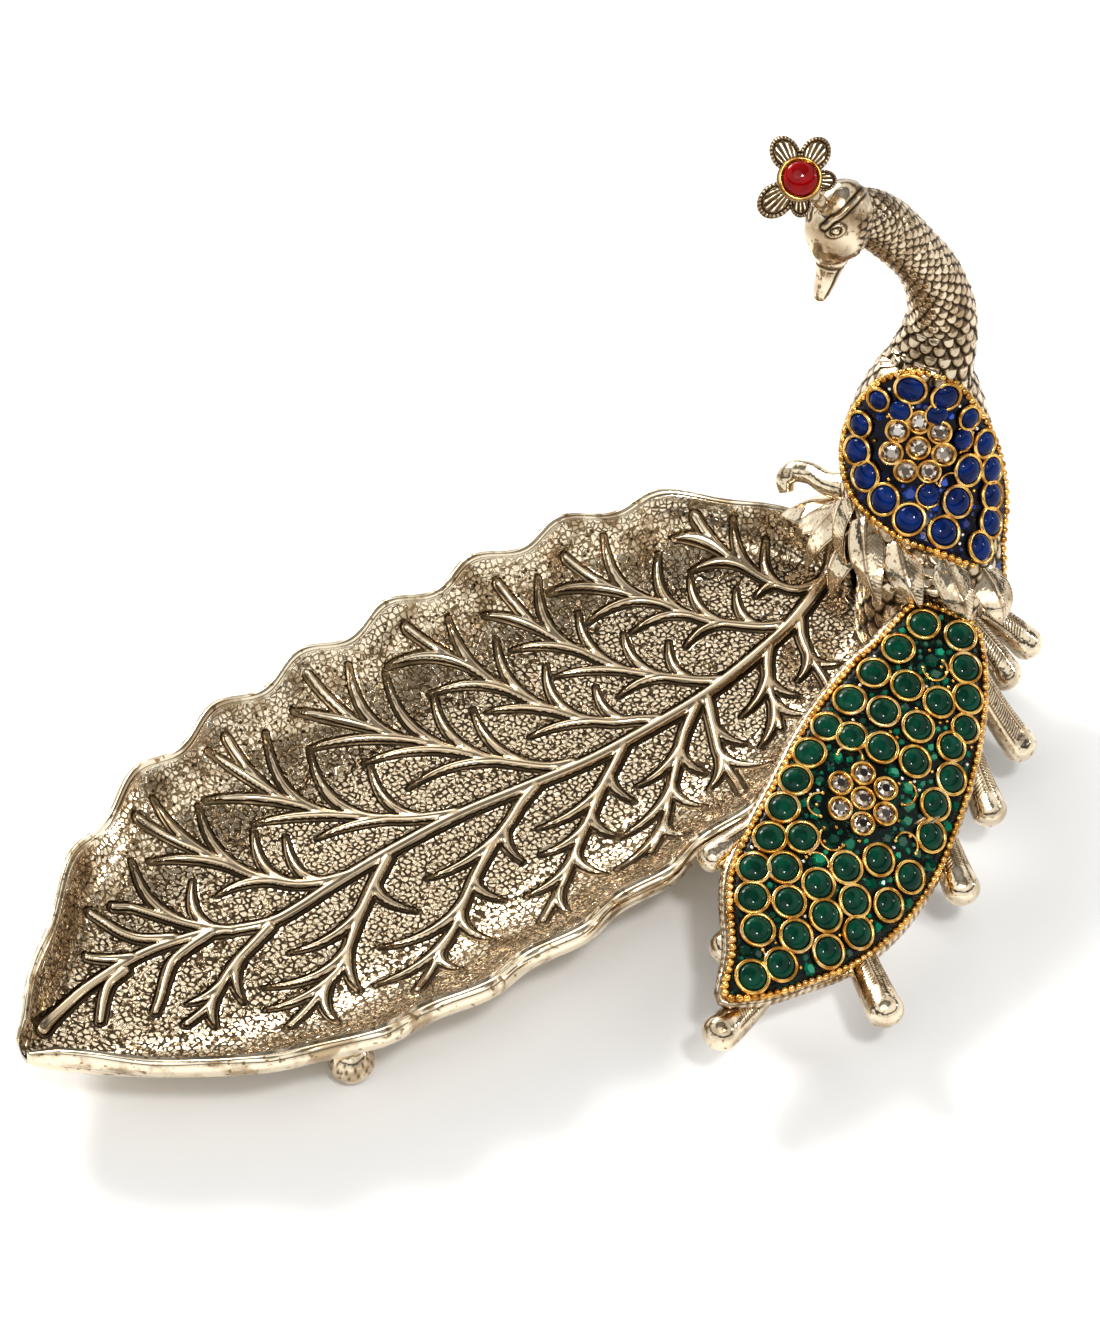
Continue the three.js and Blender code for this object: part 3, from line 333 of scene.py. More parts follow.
# Leaf tray
leaf = dict(
    length=285, halfWidth=66, bow=4, tipFlare=58, tipRound=3, backBluntness=10, frontBluntness=4,
    endRoundness=0.45, rimHeight=28, floorHeight=12, tipFloorRise=11, tipRiseLength=25, wall=3,
    lipWidth=4, lipHeight=5, wallSteepness=5, scallopPitch=30.5, scallopCrest=11.5,
    scallopDepth=1.8, scallopLift=1.2, rows=520, columns=220, underColumns=22, endCrowding=0.022,
    lipRoll=0.52, fadeWidth=0.05,
)


def leafBow(x):
    share = x / leaf["length"]
    return 4 * leaf["bow"] * share * (1 - share)


def scallop(x):  # one on a crest of the scalloped rim, minus one between two
    return np.cos(2 * np.pi * (x - leaf["scallopCrest"]) / leaf["scallopPitch"])


# Half width of the leaf on its back side or its front side.
def leafHalf(x, side):
    bluntness = np.where(np.asarray(side) > 0, leaf["backBluntness"], leaf["frontBluntness"])
    share = np.clip(x / leaf["length"], 0, 1)
    end = np.maximum(0, 1 - share**bluntness) ** leaf["endRoundness"]
    plain = leaf["halfWidth"] * np.tanh((x + leaf["tipRound"]) / leaf["tipFlare"]) * end
    return plain + leaf["scallopDepth"] * scallop(x) * np.minimum(1, plain / leaf["halfWidth"])


def leafRim(x):
    return leaf["rimHeight"] + leaf["scallopLift"] * scallop(x)


def leafFloor(x):
    return leaf["floorHeight"] + leaf["tipFloorRise"] * np.exp(-x / leaf["tipRiseLength"])


# Veins as drawn on the dish: points from the midrib out, then twigs as (share along the vein, tip).
midrib = [
    (284, 10.5), (277, 8.5), (270, 5.6), (260, 2.2), (250, 0), (235, -2.4), (220, -4), (200, -3.9), (180, -2.8),
    (160, 0.6), (140, 3.9), (120, 5), (100, 5), (86, 4.2), (78, 4.6), (70, 7.8), (62, 12), (50, 15.2), (42, 15.8),
    (35, 15.3), (24.5, 13.1), (13.3, 8.6), (9, 6),
]
veins = [
    ([(278, 10), (271, 12), (267.5, 18.5), (265, 27), (262.5, 35.5), (260.5, 46)],
     [(0.25, 274, 29), (0.28, 260, 17), (0.42, 269, 38.5), (0.56, 251, 35.8), (0.72, 252.5, 46)]),
    ([(258, 3.9), (253.3, 6.7), (246.7, 13.3), (242.2, 19), (238.9, 25.6), (235.5, 33), (231, 39), (226, 46.7),
      (220.5, 57)],
     [(0.07, 257.8, 23.3), (0.21, 231, 14.5), (0.23, 249.5, 34.5), (0.36, 222, 28.3), (0.42, 246, 45),
      (0.52, 213.3, 38.5), (0.6, 233.9, 56), (0.7, 210, 51.5)]),
    ([(230, -2.2), (225.5, 1.1), (220, 6.7), (215.5, 12.2), (211, 17.8), (208.3, 24.4), (205.5, 32.2), (203.3, 37.8),
      (200.5, 45.5), (199.4, 52.2), (197.8, 60)],
     [(0.08, 228.3, 19), (0.2, 203, 11), (0.22, 220, 29.5), (0.34, 193.5, 28.5), (0.38, 214, 43), (0.56, 189.5, 43.3),
      (0.62, 209.5, 56), (0.75, 189, 55.5)]),
    ([(206, -2.5), (201, 1.1), (195.5, 4.4), (190, 10), (186.7, 15.5), (183.3, 22.2), (181, 29), (178.3, 36.7),
      (175.5, 45.5), (171, 53.3), (166, 61.7)],
     [(0.08, 200.5, 18.5), (0.19, 173.5, 14.5), (0.24, 194.5, 33.5), (0.35, 170, 29.5), (0.41, 188, 48.5),
      (0.54, 160.5, 44), (0.62, 178.5, 58.5), (0.76, 155, 56)]),
    ([(176.7, -0.5), (171, 2.2), (165.5, 7.8), (160, 14.5), (155.5, 21), (152, 26.7), (149, 31), (144.4, 36.7),
      (141, 42.2), (137.8, 46.7), (135, 54.5), (132.2, 63.3)],
     [(0.1, 167.5, 33), (0.21, 135.5, 20.3), (0.27, 161.5, 43.5), (0.38, 131, 35), (0.43, 153, 54.5), (0.55, 121, 47),
      (0.62, 144.5, 60.5), (0.72, 123, 57)]),
    ([(140, 5), (134.4, 7.8), (129, 11), (123.3, 15.6), (117.8, 21), (112.2, 26.7), (108.3, 33.3), (105, 39),
      (103.3, 45.5), (102.2, 52.2), (101.7, 58.3)],
     [(0.08, 132, 34), (0.22, 105, 21), (0.3, 120.5, 46), (0.42, 94, 35.5), (0.47, 112.5, 55.5), (0.58, 86.5, 47.5),
      (0.74, 94.5, 57.5)]),
    ([(104.4, 5), (99, 6.7), (94.4, 8.9), (90, 12.2), (85.5, 17.8), (82.2, 23.3), (79, 31), (75.5, 37.8), (71, 44.4),
      (66.7, 49.5)],
     [(0.1, 98.5, 27), (0.22, 92.5, 33.5), (0.32, 72, 21), (0.38, 84, 47), (0.52, 63, 39.5), (0.62, 73.5, 52.5)]),
    ([(68, 8.5), (64.5, 12), (60, 17.8), (55.5, 24.4), (51, 30), (46.7, 32.2)],
     [(0.06, 69.5, 29), (0.3, 58.5, 41)]),
    ([(54.4, 15.5), (47.8, 20), (44.4, 24.4), (42.2, 29), (40, 32.2)], []),
    ([(42, 16), (36.7, 19), (32, 22)], []),
    ([(264, 2), (260, -3), (257, -8.9), (255, -14.4), (253, -20), (250.5, -25)],
     [(0.5, 261, -19.5), (0.4, 247, -16)]),
    ([(250, -0.5), (246, -4), (241, -10), (237, -16), (233.5, -22), (230, -27.5)],
     [(0.28, 225.5, -16.5), (0.35, 243, -21), (0.6, 239, -30), (0.66, 221, -29.5)]),
    ([(222, -5.5), (217.8, -12.2), (214.4, -17.8), (211, -23.3), (207.8, -31), (205.5, -36.7), (202, -43)],
     [(0.2, 219, -26), (0.45, 216.5, -38), (0.5, 199, -33)]),
    ([(217.8, -5.5), (209, -11), (202, -16.7), (195.5, -22.2), (189, -27.8), (183.3, -33.3), (177.8, -37.8),
      (170, -42.5)],
     [(0.22, 185.5, -18.5), (0.27, 203, -27.5), (0.5, 169, -30.7), (0.5, 193, -38), (0.74, 160, -40.5),
      (0.78, 180, -46)]),
    ([(192, -4.5), (184.4, -9), (176.7, -13.3), (170, -17.8), (163.3, -22.2), (156.7, -26.7), (151, -31),
      (144.5, -35.5), (133, -42.5)],
     [(0.15, 181, -22.5), (0.2, 154.5, -13.5), (0.38, 169, -30), (0.42, 149, -21.5), (0.58, 156.5, -40),
      (0.64, 136.5, -31), (0.8, 139, -45.5)]),
    ([(163, -1.2), (156.7, -3.3), (150, -6.7), (140, -11), (130, -16.7), (122, -22.2), (114.4, -27.8), (106.7, -32.2),
      (100, -36.7), (93, -40.5)],
     [(0.2, 143.5, -20.5), (0.2, 120, -9), (0.44, 131, -28), (0.52, 96, -20.5), (0.6, 119, -38.5), (0.68, 87, -30.5),
      (0.82, 106, -42)]),
    ([(115.5, 3.3), (110, 0), (103.3, -4.4), (96.7, -9), (90, -14.4), (84.4, -19), (76.7, -22.2), (69, -25.5),
      (61.5, -28)],
     [(0.12, 111, -16.5), (0.24, 76, -7), (0.5, 82.5, -29), (0.48, 64, -12.5), (0.62, 60, -19), (0.7, 71, -35.5)]),
    ([(76.7, 3.3), (70, 1.1), (63.3, -1.1), (56.7, -4.4), (49, -9), (41, -10.8)],
     [(0.28, 57, -13.5), (0.55, 45, -5.2), (0.7, 46.5, -16)]),
    ([(63, 11), (56.7, 10.5), (50, 9), (45.5, 5.5), (41, 1), (36.7, -2.8)], []),
    ([(37.8, 13.5), (32, 11.7), (27.8, 7.8), (23.3, 2.2)], []),
]
veining = dict(
    midribWidth=(2.0, 1.25), midribHeight=1.7, veinWidth=(1.45, 0.8), veinHeight=1.4,
    twigWidth=1.15, twigHeight=1.2, twigBend=0.55, taper=0.35, grooveDepth=0.6,
)


# Every stroke: its line, its half width and its height at each point.
def strokes():
    def tapered(line, ends, rise):
        t = np.linspace(0, 1, len(line))
        return line, ends[0] + (ends[1] - ends[0]) * t, rise * (1 - veining["taper"] * t)

    made = [tapered(curve(midrib, 90), veining["midribWidth"], veining["midribHeight"])]
    for path, twigs in veins:
        line = curve(path, 40)
        made.append(tapered(line, veining["veinWidth"], veining["veinHeight"]))
        for share, tipX, tipY in twigs:
            start = line[int(share * 39)]
            ahead = unit(line[min(39, int(share * 39) + 2)] - start)
            tip = np.array([tipX, tipY], dtype=float)
            bend = start + ahead * veining["twigBend"] * np.linalg.norm(tip - start)
            t = np.linspace(0, 1, 18)
            twig = bent(start, bend, tip, t)
            blade = np.maximum(0.12, np.sin(np.pi * (0.25 + 0.75 * t)) ** 0.8)
            made.append((twig, veining["twigWidth"] * blade, veining["twigHeight"] * (0.35 + 0.65 * blade)))
    return made


# Height of the veins over the dish, and the gap to the nearest vein's edge.
def veinRelief(x, y):
    height = np.zeros(x.shape)
    gap = np.full(x.shape, 3.0)
    for line, halves, rises in strokes():
        low, high = line.min(0) - 5, line.max(0) + 5
        near = np.nonzero((x > low[0]) & (x < high[0]) & (y > low[1]) & (y < high[1]))
        px, py = x[near], y[near]
        best = np.full(px.shape, 99.0)
        share = np.full(px.shape, 9.0)
        top = np.zeros(px.shape)
        for k in range(len(line) - 1):
            (ax, ay), (bx, by) = line[k], line[k + 1]
            dx, dy = bx - ax, by - ay
            t = np.clip(((px - ax) * dx + (py - ay) * dy) / (dx * dx + dy * dy), 0, 1)
            half = halves[k] + (halves[k + 1] - halves[k]) * t
            away = np.hypot(px - ax - t * dx, py - ay - t * dy)
            closer = away - half < best
            best = np.where(closer, away - half, best)
            share = np.where(closer, away / half, share)
            top = np.where(closer, rises[k] + (rises[k + 1] - rises[k]) * t, top)
        height[near] = np.maximum(height[near], top * np.maximum(0, 1 - share**3) ** 0.6)
        gap[near] = np.minimum(gap[near], best)
    return height, gap


def leafTray():
    n = leaf["rows"]
    # Stations lie closer together at both ends.
    share = np.linspace(0, 1, n)
    x = leaf["length"] * (share - leaf["endCrowding"] * np.sin(2 * np.pi * share))
    x = np.clip(x, 0, leaf["length"] - 0.25)
    across = np.linspace(1, -1, leaf["columns"])
    xx = x[:, None] * np.ones_like(across)[None]
    side = np.where(across > 0, 1, -1)[None] * np.ones((n, 1))
    outer = leafHalf(xx, side)
    lip = np.minimum(leaf["lipWidth"], 0.4 * outer)
    y = leafBow(xx) + across[None] * (outer - lip)
    rise = np.abs(across[None]) ** leaf["wallSteepness"] * np.ones((n, 1))
    floor, rim = leafFloor(xx), leafRim(xx)
    height, gap = veinRelief(xx, y)
    fade = np.clip((1 - np.abs(across)) / leaf["fadeWidth"], 0, 1)[None] * np.ones((n, 1))
    trough = bump(gap, 0.5, 0.45) * (height < 0.1)
    z = floor + (rim - floor) * rise + (height - veining["grooveDepth"] * trough) * fade
    rings = [np.stack([xx, y, z], -1)]
    gapRows, wallRows, lipRows = [gap + 4 * (1 - fade)], [rise], [1 - fade]

    middle = leafBow(x)
    rimX, floorX = leafRim(x), leafFloor(x)
    for side in (-1, 1):
        outer = leafHalf(x, side)
        lip = np.minimum(leaf["lipWidth"], 0.4 * outer)
        size = lip / leaf["lipWidth"]
        drop = leaf["lipHeight"] * size
        low = floorX - np.minimum(leaf["wall"], 0.5 * outer)
        roll = lip * leaf["lipRoll"]
        # The lip rolls over: its inner edge, crown, outer edge and the return under it.
        lipArc = arc(150, -75, 13, roll, rimX - 0.55 * drop, 0.62 * drop)
        band = [(outer - roll + reach, level, 1.0) for reach, level in lipArc]
        for a in np.linspace(0.96, 0.04, leaf["underColumns"] // 2):
            band.append((a * (outer - 0.9), low + (rimX - drop - low) * a ** leaf["wallSteepness"], 0.0))
        if side > 0:
            band.reverse()
        for reach, level, steep in band:
            rings.append(np.stack([x, middle + side * reach, level], -1)[:, None])
            gapRows.append(np.full((n, 1), 7.0))
            wallRows.append(np.full((n, 1), steep))
            lipRows.append(np.full((n, 1), 1.0))
    casting = Casting()
    marks = dict(gap=gapRows, wall=wallRows, lip=lipRows)
    casting.loft(np.concatenate(rings, 1), **{name: np.concatenate(rows, 1) for name, rows in marks.items()})
    casting.make("leafTray", [dishSilver("dishSilver")], ["leaf_tray"])


leafTray()

# Panels: their surfaces are those of the solids
back = dict(
    top=(284, -20, 109), heading=-38.5, arcRadius=54, topTilt=5, crossRadius=20,
    outline=[(-6.6, 0.5), (-3, -0.3), (4.9, 2.6), (11.8, 10.9), (17.8, 19.9), (21.6, 28.3), (23.1, 35.9), (21.9, 44.7),
             (21.2, 52.8), (13.2, 51.2), (4, 48.6), (-4.4, 45.7), (-11.9, 40.3), (-17.6, 34.7), (-20.5, 28.4),
             (-20.7, 21.6), (-18.5, 14.6), (-14.2, 7.2), (-11.4, 3.7)],
    stones=[(-5.2, 3.6), (4, 5.9), (11, 13.4), (15.9, 21.3), (18.2, 28.1), (18.5, 34.3), (18.2, 40.8), (15, 47.3),
            (4.6, 44.1), (-4.4, 40.6), (-10.8, 35.2), (-15.5, 29.4), (-17.7, 23.4), (-17.2, 16.7), (-13, 8.8),
            (11.3, 27.6), (8.4, 35.8)],
    chips=[(-7.6, 10.6), (2.2, 11.2), (9.3, 19.2), (0.6, 34)], chipRadius=2.9,
    flower=(-2.4, 20.8), circle=7.2, petals=7,
)
tail = dict(
    centre=(206, -74, 43), slopeX=0.063, slopeY=0.462, heading=(-0.919, -0.394), crossRadius=60, crossMiddle=8,
    outline=[(-64.7, 1.2), (-65.3, 4.3), (-63.1, 9), (-54.6, 15.5), (-44.4, 21.2), (-28.6, 27.3), (-6.9, 32.3),
             (8.1, 33.3), (21.9, 31.5), (35.5, 26.8), (47, 19.7), (56, 13.3), (62.2, 6.8), (62.7, 5.1), (60.6, 4.3),
             (51.4, 0.8), (41.5, -5.8), (32.8, -10.1), (22.1, -11.9), (4.6, -13.3), (-16.1, -15.1), (-36.9, -13.9),
             (-46.7, -11.7), (-61.2, -9.6), (-63.8, -4.4)],
    stones=[(-57.9, -5.2), (-47.6, -7.2), (-37.4, -9), (-26.7, -10.3), (-16.4, -11.4), (-7, -11.3), (2, -10.4),
            (10.9, -9.2), (20.3, -7.7), (30.2, -6.8), (37.6, -3), (44.5, 2.6), (48.8, 12.2), (56.1, 7.9),
            (-60.7, 4.6), (-39, 0.1), (-28.6, -1.3), (-17.3, -4.6), (15.5, -0.9), (25.7, -0.4), (33.1, 5.3),
            (39.8, 11.5), (-53.4, 10.4), (-40.1, 9.5), (-30.4, 8.4), (-19.1, 3.5), (-21.4, 12.7), (24.3, 9.1),
            (15.7, 12.7), (30.2, 15), (-46.4, 15.3), (-38.7, 19.1), (-31.7, 18.6), (-24.3, 23.3), (-15.3, 23.4),
            (8.1, 18.7), (21.7, 19.3), (37.6, 20.6), (-7.4, 27), (5.8, 28.1), (16.1, 27.3), (27.9, 24.5)],
    flower=(-3.4, 6.6), circle=7.1, petals=6,
)
setting = dict(
    plate=1.8, stoneRadius=3.65, stoneHeight=2.2, stoneGap=0.35, rimShare=0.6, crystalRadius=2.75, crystalHeight=1.4,
    beadRadius=0.85, clearance=0.3, seat=0.5, stoneEdge=0.25, collarHeight=1.55, plateGrowth=0.45, proud=0.35,
    beadPitch=2.1, beadWire=0.62, beadDrop=0.75, beadScale=(1.24, 1.36),
)
# Rings of wire: radius, thickness and height.
wires = dict(chip=(3.3, 0.42, 1.2), broken=(3.4, 0.36, 1.1), flower=(setting["crystalRadius"] + 0.3, 0.48, 1.7))
backHeading = math.radians(back["heading"])
backOut = np.array([math.sin(backHeading), -math.cos(backHeading), 0])
backAcross = np.array([math.cos(backHeading), math.sin(backHeading), 0])


# A place on the back panel: across it, down it and out of it.
def backPoint(u, s, lift=0.0):
    u, s, lift = (np.asarray(v, dtype=float)[..., None] for v in (u, s, lift))
    first, radius = math.radians(back["topTilt"]), back["arcRadius"]
    tilt = first + s / radius
    normal = backOut * np.cos(tilt) + np.array([0, 0, 1]) * np.sin(tilt)
    place = np.array(back["top"]) + backOut * radius * (math.cos(first) - np.cos(tilt))
    place = place - np.array([0, 0, 1]) * radius * (np.sin(tilt) - math.sin(first)) + backAcross * u
    return place + normal * (lift - u * u / (2 * back["crossRadius"]))


tailUp = unit([-tail["slopeX"], -tail["slopeY"], 1])
tailAlong = np.array([*tail["heading"], 0.0])
tailAlong = unit(tailAlong - tailUp * (tailAlong @ tailUp))
tailAcross = -np.cross(tailAlong, tailUp)


# A place on the tail panel: along it, across it and out of it.
def tailPoint(a, b, lift=0.0):
    a, b, lift = (np.asarray(v, dtype=float)[..., None] for v in (a, b, lift))
    off = b - tail["crossMiddle"]
    place = np.array(tail["centre"]) + tailAlong * a + tailAcross * b
    return place + tailUp * (lift - off * off / (2 * tail["crossRadius"]))


# A frame on a panel: the place, two directions along it and the way out.
def seatFrame(surface, u, v):
    place = surface(u, v)
    right = unit(surface(u + 0.05, v) - surface(u - 0.05, v))
    up = unit(np.cross(right, surface(u, v + 0.05) - surface(u, v - 0.05)))
    if up @ (surface(u, v, 1.0) - place) < 0:
        up = -up
    return place, right, np.cross(up, right), up


# Local points laid on a frame.
def seated(frameAt, local):
    place, right, ahead, up = frameAt
    local = np.asarray(local, dtype=float)
    return place + local[..., :1] * right + local[..., 1:2] * ahead + local[..., 2:] * up


# A frame on the table.
def upright(x, y):
    return np.array([x, y, 0.0]), *np.eye(3)


# Rings of a turned shape, from the radius and height of each.
def revolved(profile, sides, wobble=0.0):
    turn = around(sides)
    rings = []
    for radius, height in profile:
        r = radius * (1 + wobble) + 0 * turn
        rings.append(np.stack([r * np.cos(turn), r * np.sin(turn), np.full(sides, height)], -1))
    return np.array(rings)


# A bent wire: a whole ring, or a part of one with thinner ends.
def ringWire(casting, frameAt, radius, wire, height, steps=36, start=0.0, sweep=360.0, seed=0):
    rnd = random.Random(seed)
    lobes = [(rnd.uniform(0.0, 0.05), rnd.uniform(0, 6.28)) for _ in range(3)]
    whole = sweep >= 360
    turns = np.radians(start) + np.radians(sweep) * np.linspace(0, 1, steps, endpoint=not whole)
    rings = []
    for turn in turns:
        bend = sum(size * math.cos((k + 2) * turn + phase) for k, (size, phase) in enumerate(lobes))
        ends = 1.0 if whole else min(1, 0.4 + 6 * min(turn - turns[0], turns[-1] - turn) * radius / 10)
        loop = []
        for a in around(8):
            r = radius + wire * ends * math.cos(a) * (1 + bend)
            z = height * (0.5 + 0.5 * ends * math.sin(a)) + 0.08 * bend
            loop.append((r * (1 + 0.25 * bend / radius) * math.cos(turn), r * math.sin(turn), z))
        rings.append(loop)
    casting.loft(seated(frameAt, np.array(rings)), round=whole)


def ball(casting, frameAt, radius, height, sides=10, finish=0, **marks):
    profile = [(max(0.02, r), z) for r, z in arc(-90, 90, 7, radius, height, radius)]
    casting.loft(seated(frameAt, revolved(profile, sides)), finish, **marks)


def dome(casting, frameAt, radius, height):
    foot, edge = setting["seat"], setting["seat"] + setting["stoneEdge"]
    profile = [(radius * 0.97, foot), (radius, edge), *arc(12, 88, 9, radius, edge, height - edge)]
    casting.loft(seated(frameAt, revolved(profile, 28)))


# A brilliant: girdle, crown facets and table, each facet with its own glint.
def brilliant(casting, frameAt, radius, height, sides=10, seed=0):
    rnd = random.Random(seed)
    foot = setting["seat"]
    spin = rnd.uniform(0, 6.28)
    rows = [(radius, foot, 0), (radius * 0.99, foot + 0.3, 0), (radius * 0.74, foot + 0.72 * (height - foot), 0.5),
            (radius * 0.42, height, 0)]
    points = []
    for r, z, offset in rows:
        for k in range(sides):
            a = spin + 2 * math.pi * (k + offset) / sides
            points.append((r * math.cos(a), r * math.sin(a), z))
    facets = []
    for k in range(sides):
        n = (k + 1) % sides
        facets.append([k, n, sides + n, sides + k])
        facets.append([sides + k, sides + n, 2 * sides + k])
        facets.append([sides + n, 2 * sides + n, 2 * sides + k])
        facets.append([2 * sides + k, 2 * sides + n, 3 * sides + n])
        facets.append([2 * sides + k, 3 * sides + n, 3 * sides + k])
    facets += [list(range(3 * sides, 4 * sides)), list(reversed(range(sides)))]
    points = seated(frameAt, np.array(points))
    for corners in facets:
        casting.facet(points, corners, glint=rnd.random(), hue=rnd.random())


# Frames for a panel's flower of crystals: its middle, and the middle crystal with its petals.
def panelFrames(panel, surface):
    u, v = panel["flower"]
    middle = seatFrame(surface, u, v)
    spots = [(u, v)]
    for k in range(panel["petals"]):
        turn = 2 * math.pi * k / panel["petals"] - math.pi / 2
        spots.append((u + panel["circle"] * math.cos(turn), v + panel["circle"] * math.sin(turn)))
    frames = []
    for spot in spots:
        foot = surface(*spot)
        foot = foot - middle[3] * ((foot - middle[0]) @ middle[3])
        frames.append((foot, *middle[1:]))
    return middle, frames


# The way out of a closed line at each of its points.
def outward(ring):
    ahead = unit(np.roll(ring, -1, 0) - np.roll(ring, 1, 0))
    area = np.sum(ring[:, 0] * np.roll(ring[:, 1], -1) - np.roll(ring[:, 0], -1) * ring[:, 1])
    return np.stack([ahead[:, 1], -ahead[:, 0]], 1) * np.sign(area)


def grownRing(outline, count, distance):
    ring = curve(outline, count, closed=True)
    return ring + outward(ring) * distance


def panelPlate(casting, outline, surface, lift, depth, growth, finish=0):
    ring = grownRing(outline, 96, growth)
    middle = ring.mean(0)
    upper = [surface(*(middle + (ring - middle) * s).T, lift) for s in np.linspace(0.02, 1, 14)]
    lower = [surface(*(middle + (ring - middle) * s).T, lift - depth) for s in np.linspace(1, 0.02, 8)]
    casting.loft(upper + lower, finish)


# Free spots between the stones, for chips and little balls.
def freeSpots(panel, taken, count, least, seed):
    rnd = np.random.RandomState(seed)
    ring = grownRing(panel["outline"], 80, -1.3)
    spots = rnd.uniform(ring.min(0), ring.max(0), (4000, 2))
    inside = np.zeros(len(spots), dtype=bool)
    for (ax, ay), (bx, by) in zip(ring, np.roll(ring, -1, 0)):
        crossed = (ay > spots[:, 1]) != (by > spots[:, 1])
        level = (spots[:, 1] - ay) / (by - ay if by != ay else 1e-9)
        inside ^= crossed & (spots[:, 0] < (bx - ax) * level + ax)
    spots = spots[inside]
    room = np.full(len(spots), 9.0)
    for u, v, r in taken:
        room = np.minimum(room, np.hypot(spots[:, 0] - u, spots[:, 1] - v) - r)
    found = []
    while len(found) < count and room.max() > least:
        best = int(room.argmax())
        u, v = spots[best]
        size = min(2.2, room[best] + 0.2)
        found.append((u, v, size))
        taken.append((u, v, size * 0.85))
        room = np.minimum(room, np.hypot(spots[:, 0] - u, spots[:, 1] - v) - size * 0.85)
    return found


# A loose chip with five to seven sides.
def chip(casting, frameAt, size, seed, finish):
    rnd = random.Random(seed)
    sides = rnd.choice([5, 6, 7])
    spin = rnd.uniform(0, 6.28)
    low, high = [], []
    for k in range(sides):
        a = spin + 2 * math.pi * k / sides
        r = size * rnd.uniform(0.7, 1.15)
        low.append((r * math.cos(a), r * math.sin(a), -0.25))
        high.append((0.6 * r * math.cos(a + 0.2), 0.6 * r * math.sin(a + 0.2), size * rnd.uniform(0.3, 0.6)))
    points = seated(frameAt, np.array(low + high))
    hue = rnd.random()
    facets = [[k, (k + 1) % sides, sides + (k + 1) % sides, sides + k] for k in range(sides)]
    facets += [list(range(sides, 2 * sides)), list(reversed(range(sides)))]
    for corners in facets:
        casting.facet(points, corners, finish, glint=rnd.random(), hue=hue)


def goldPlate(name):
    finish = Finish(name, Metallic=1.0)
    grime = finish.noise(3.0, 3.0).between(0.36, 0.62)
    pale = finish.noise(11, 2.0).between(0.5, 0.7)
    worn = finish.blend(pale * 0.5, (0.95, 0.58, 0.16), (0.98, 0.76, 0.46))
    colour = finish.blend(grime, (0.40, 0.17, 0.025), worn)
    finish.shade(Base_Color=colour, Roughness=0.30 - grime * 0.12)
    finish.relief(finish.noise(0.9, 2.0), 0.12, 0.5)
    return finish.material


def enamel(name, dark, light):
    finish = Finish(name, Roughness=0.22, IOR=1.25)
    lump = finish.noise(2.6, 3.0).between(0.52, 0.75)
    facets = finish.cells(1.1, out=1)
    grain = finish.node("ShaderNodeSeparateColor", None, {0: facets})
    colour = finish.blend(lump * grain, dark, light)
    finish.shade(Base_Color=colour)
    finish.relief(finish.cells(1.1) * lump, 0.5, 0.6)
    return finish.material


def cabochonGlass(name, deep, glow):
    finish = Finish(name, Roughness=0.06, IOR=1.2, Coat_Weight=0.1, Coat_Roughness=0.01)
    cloud = finish.noise(4.5, 2.0).between(0.35, 0.7)
    finish.shade(Base_Color=finish.blend(cloud, deep, glow))
    return finish.material


def chipGlass(name, deep, glow):
    finish = Finish(name, Roughness=0.06, Coat_Weight=0.5, IOR=1.4)
    glint, hue = finish.mark("glint"), finish.mark("hue")
    colour = finish.blend(glint * hue, deep, glow)
    finish.shade(Base_Color=colour, Metallic=glint.between(0.75, 0.95) * 0.6)
    return finish.material


foil = dict(
    glints=[(0.0, (0.04, 0.03, 0.02)), (0.4, (0.26, 0.20, 0.15)), (0.7, (0.56, 0.48, 0.39)),
            (1.0, (0.97, 0.91, 0.83))],
    tints=[(0.0, (1.0, 0.75, 0.6)), (0.3, (1, 1, 1)), (0.7, (1, 1, 1)), (1.0, (0.75, 0.85, 1.0))], tinting=0.6,
)


def foiledCrystal(name):
    finish = Finish(name, Roughness=0.06, Metallic=0.9, Coat_Weight=1.0, Coat_Roughness=0.01)
    glint, hue = finish.mark("glint"), finish.mark("hue")
    body, tint = finish.ramp(glint, foil["glints"]), finish.ramp(hue, foil["tints"])
    settings = {"data_type": "RGBA", "blend_type": "MULTIPLY"}
    colour = finish.node("ShaderNodeMix", settings, {0: foil["tinting"], 6: body, 7: tint}, 2)
    finish.shade(Base_Color=colour)
    return finish.material


gold = goldPlate("goldPlate")
crystalGlass = foiledCrystal("crystal")


# The radius of each stone, as large as its neighbours and the panel's edge allow.
def stoneRadii(panel, surface):
    places = np.array([surface(u, v) for u, v in panel["stones"]])
    ring = grownRing(panel["outline"], 120, 0.0)
    edge = surface(ring[:, 0], ring[:, 1])
    apart = np.linalg.norm(places[:, None] - places[None], axis=-1) + 99 * np.eye(len(places))
    toEdge = np.linalg.norm(places[:, None] - edge[None], axis=-1).min(1) + 0.25
    return np.minimum(setting["stoneRadius"], np.minimum((apart.min(1) - setting["stoneGap"]) / 2, toEdge))


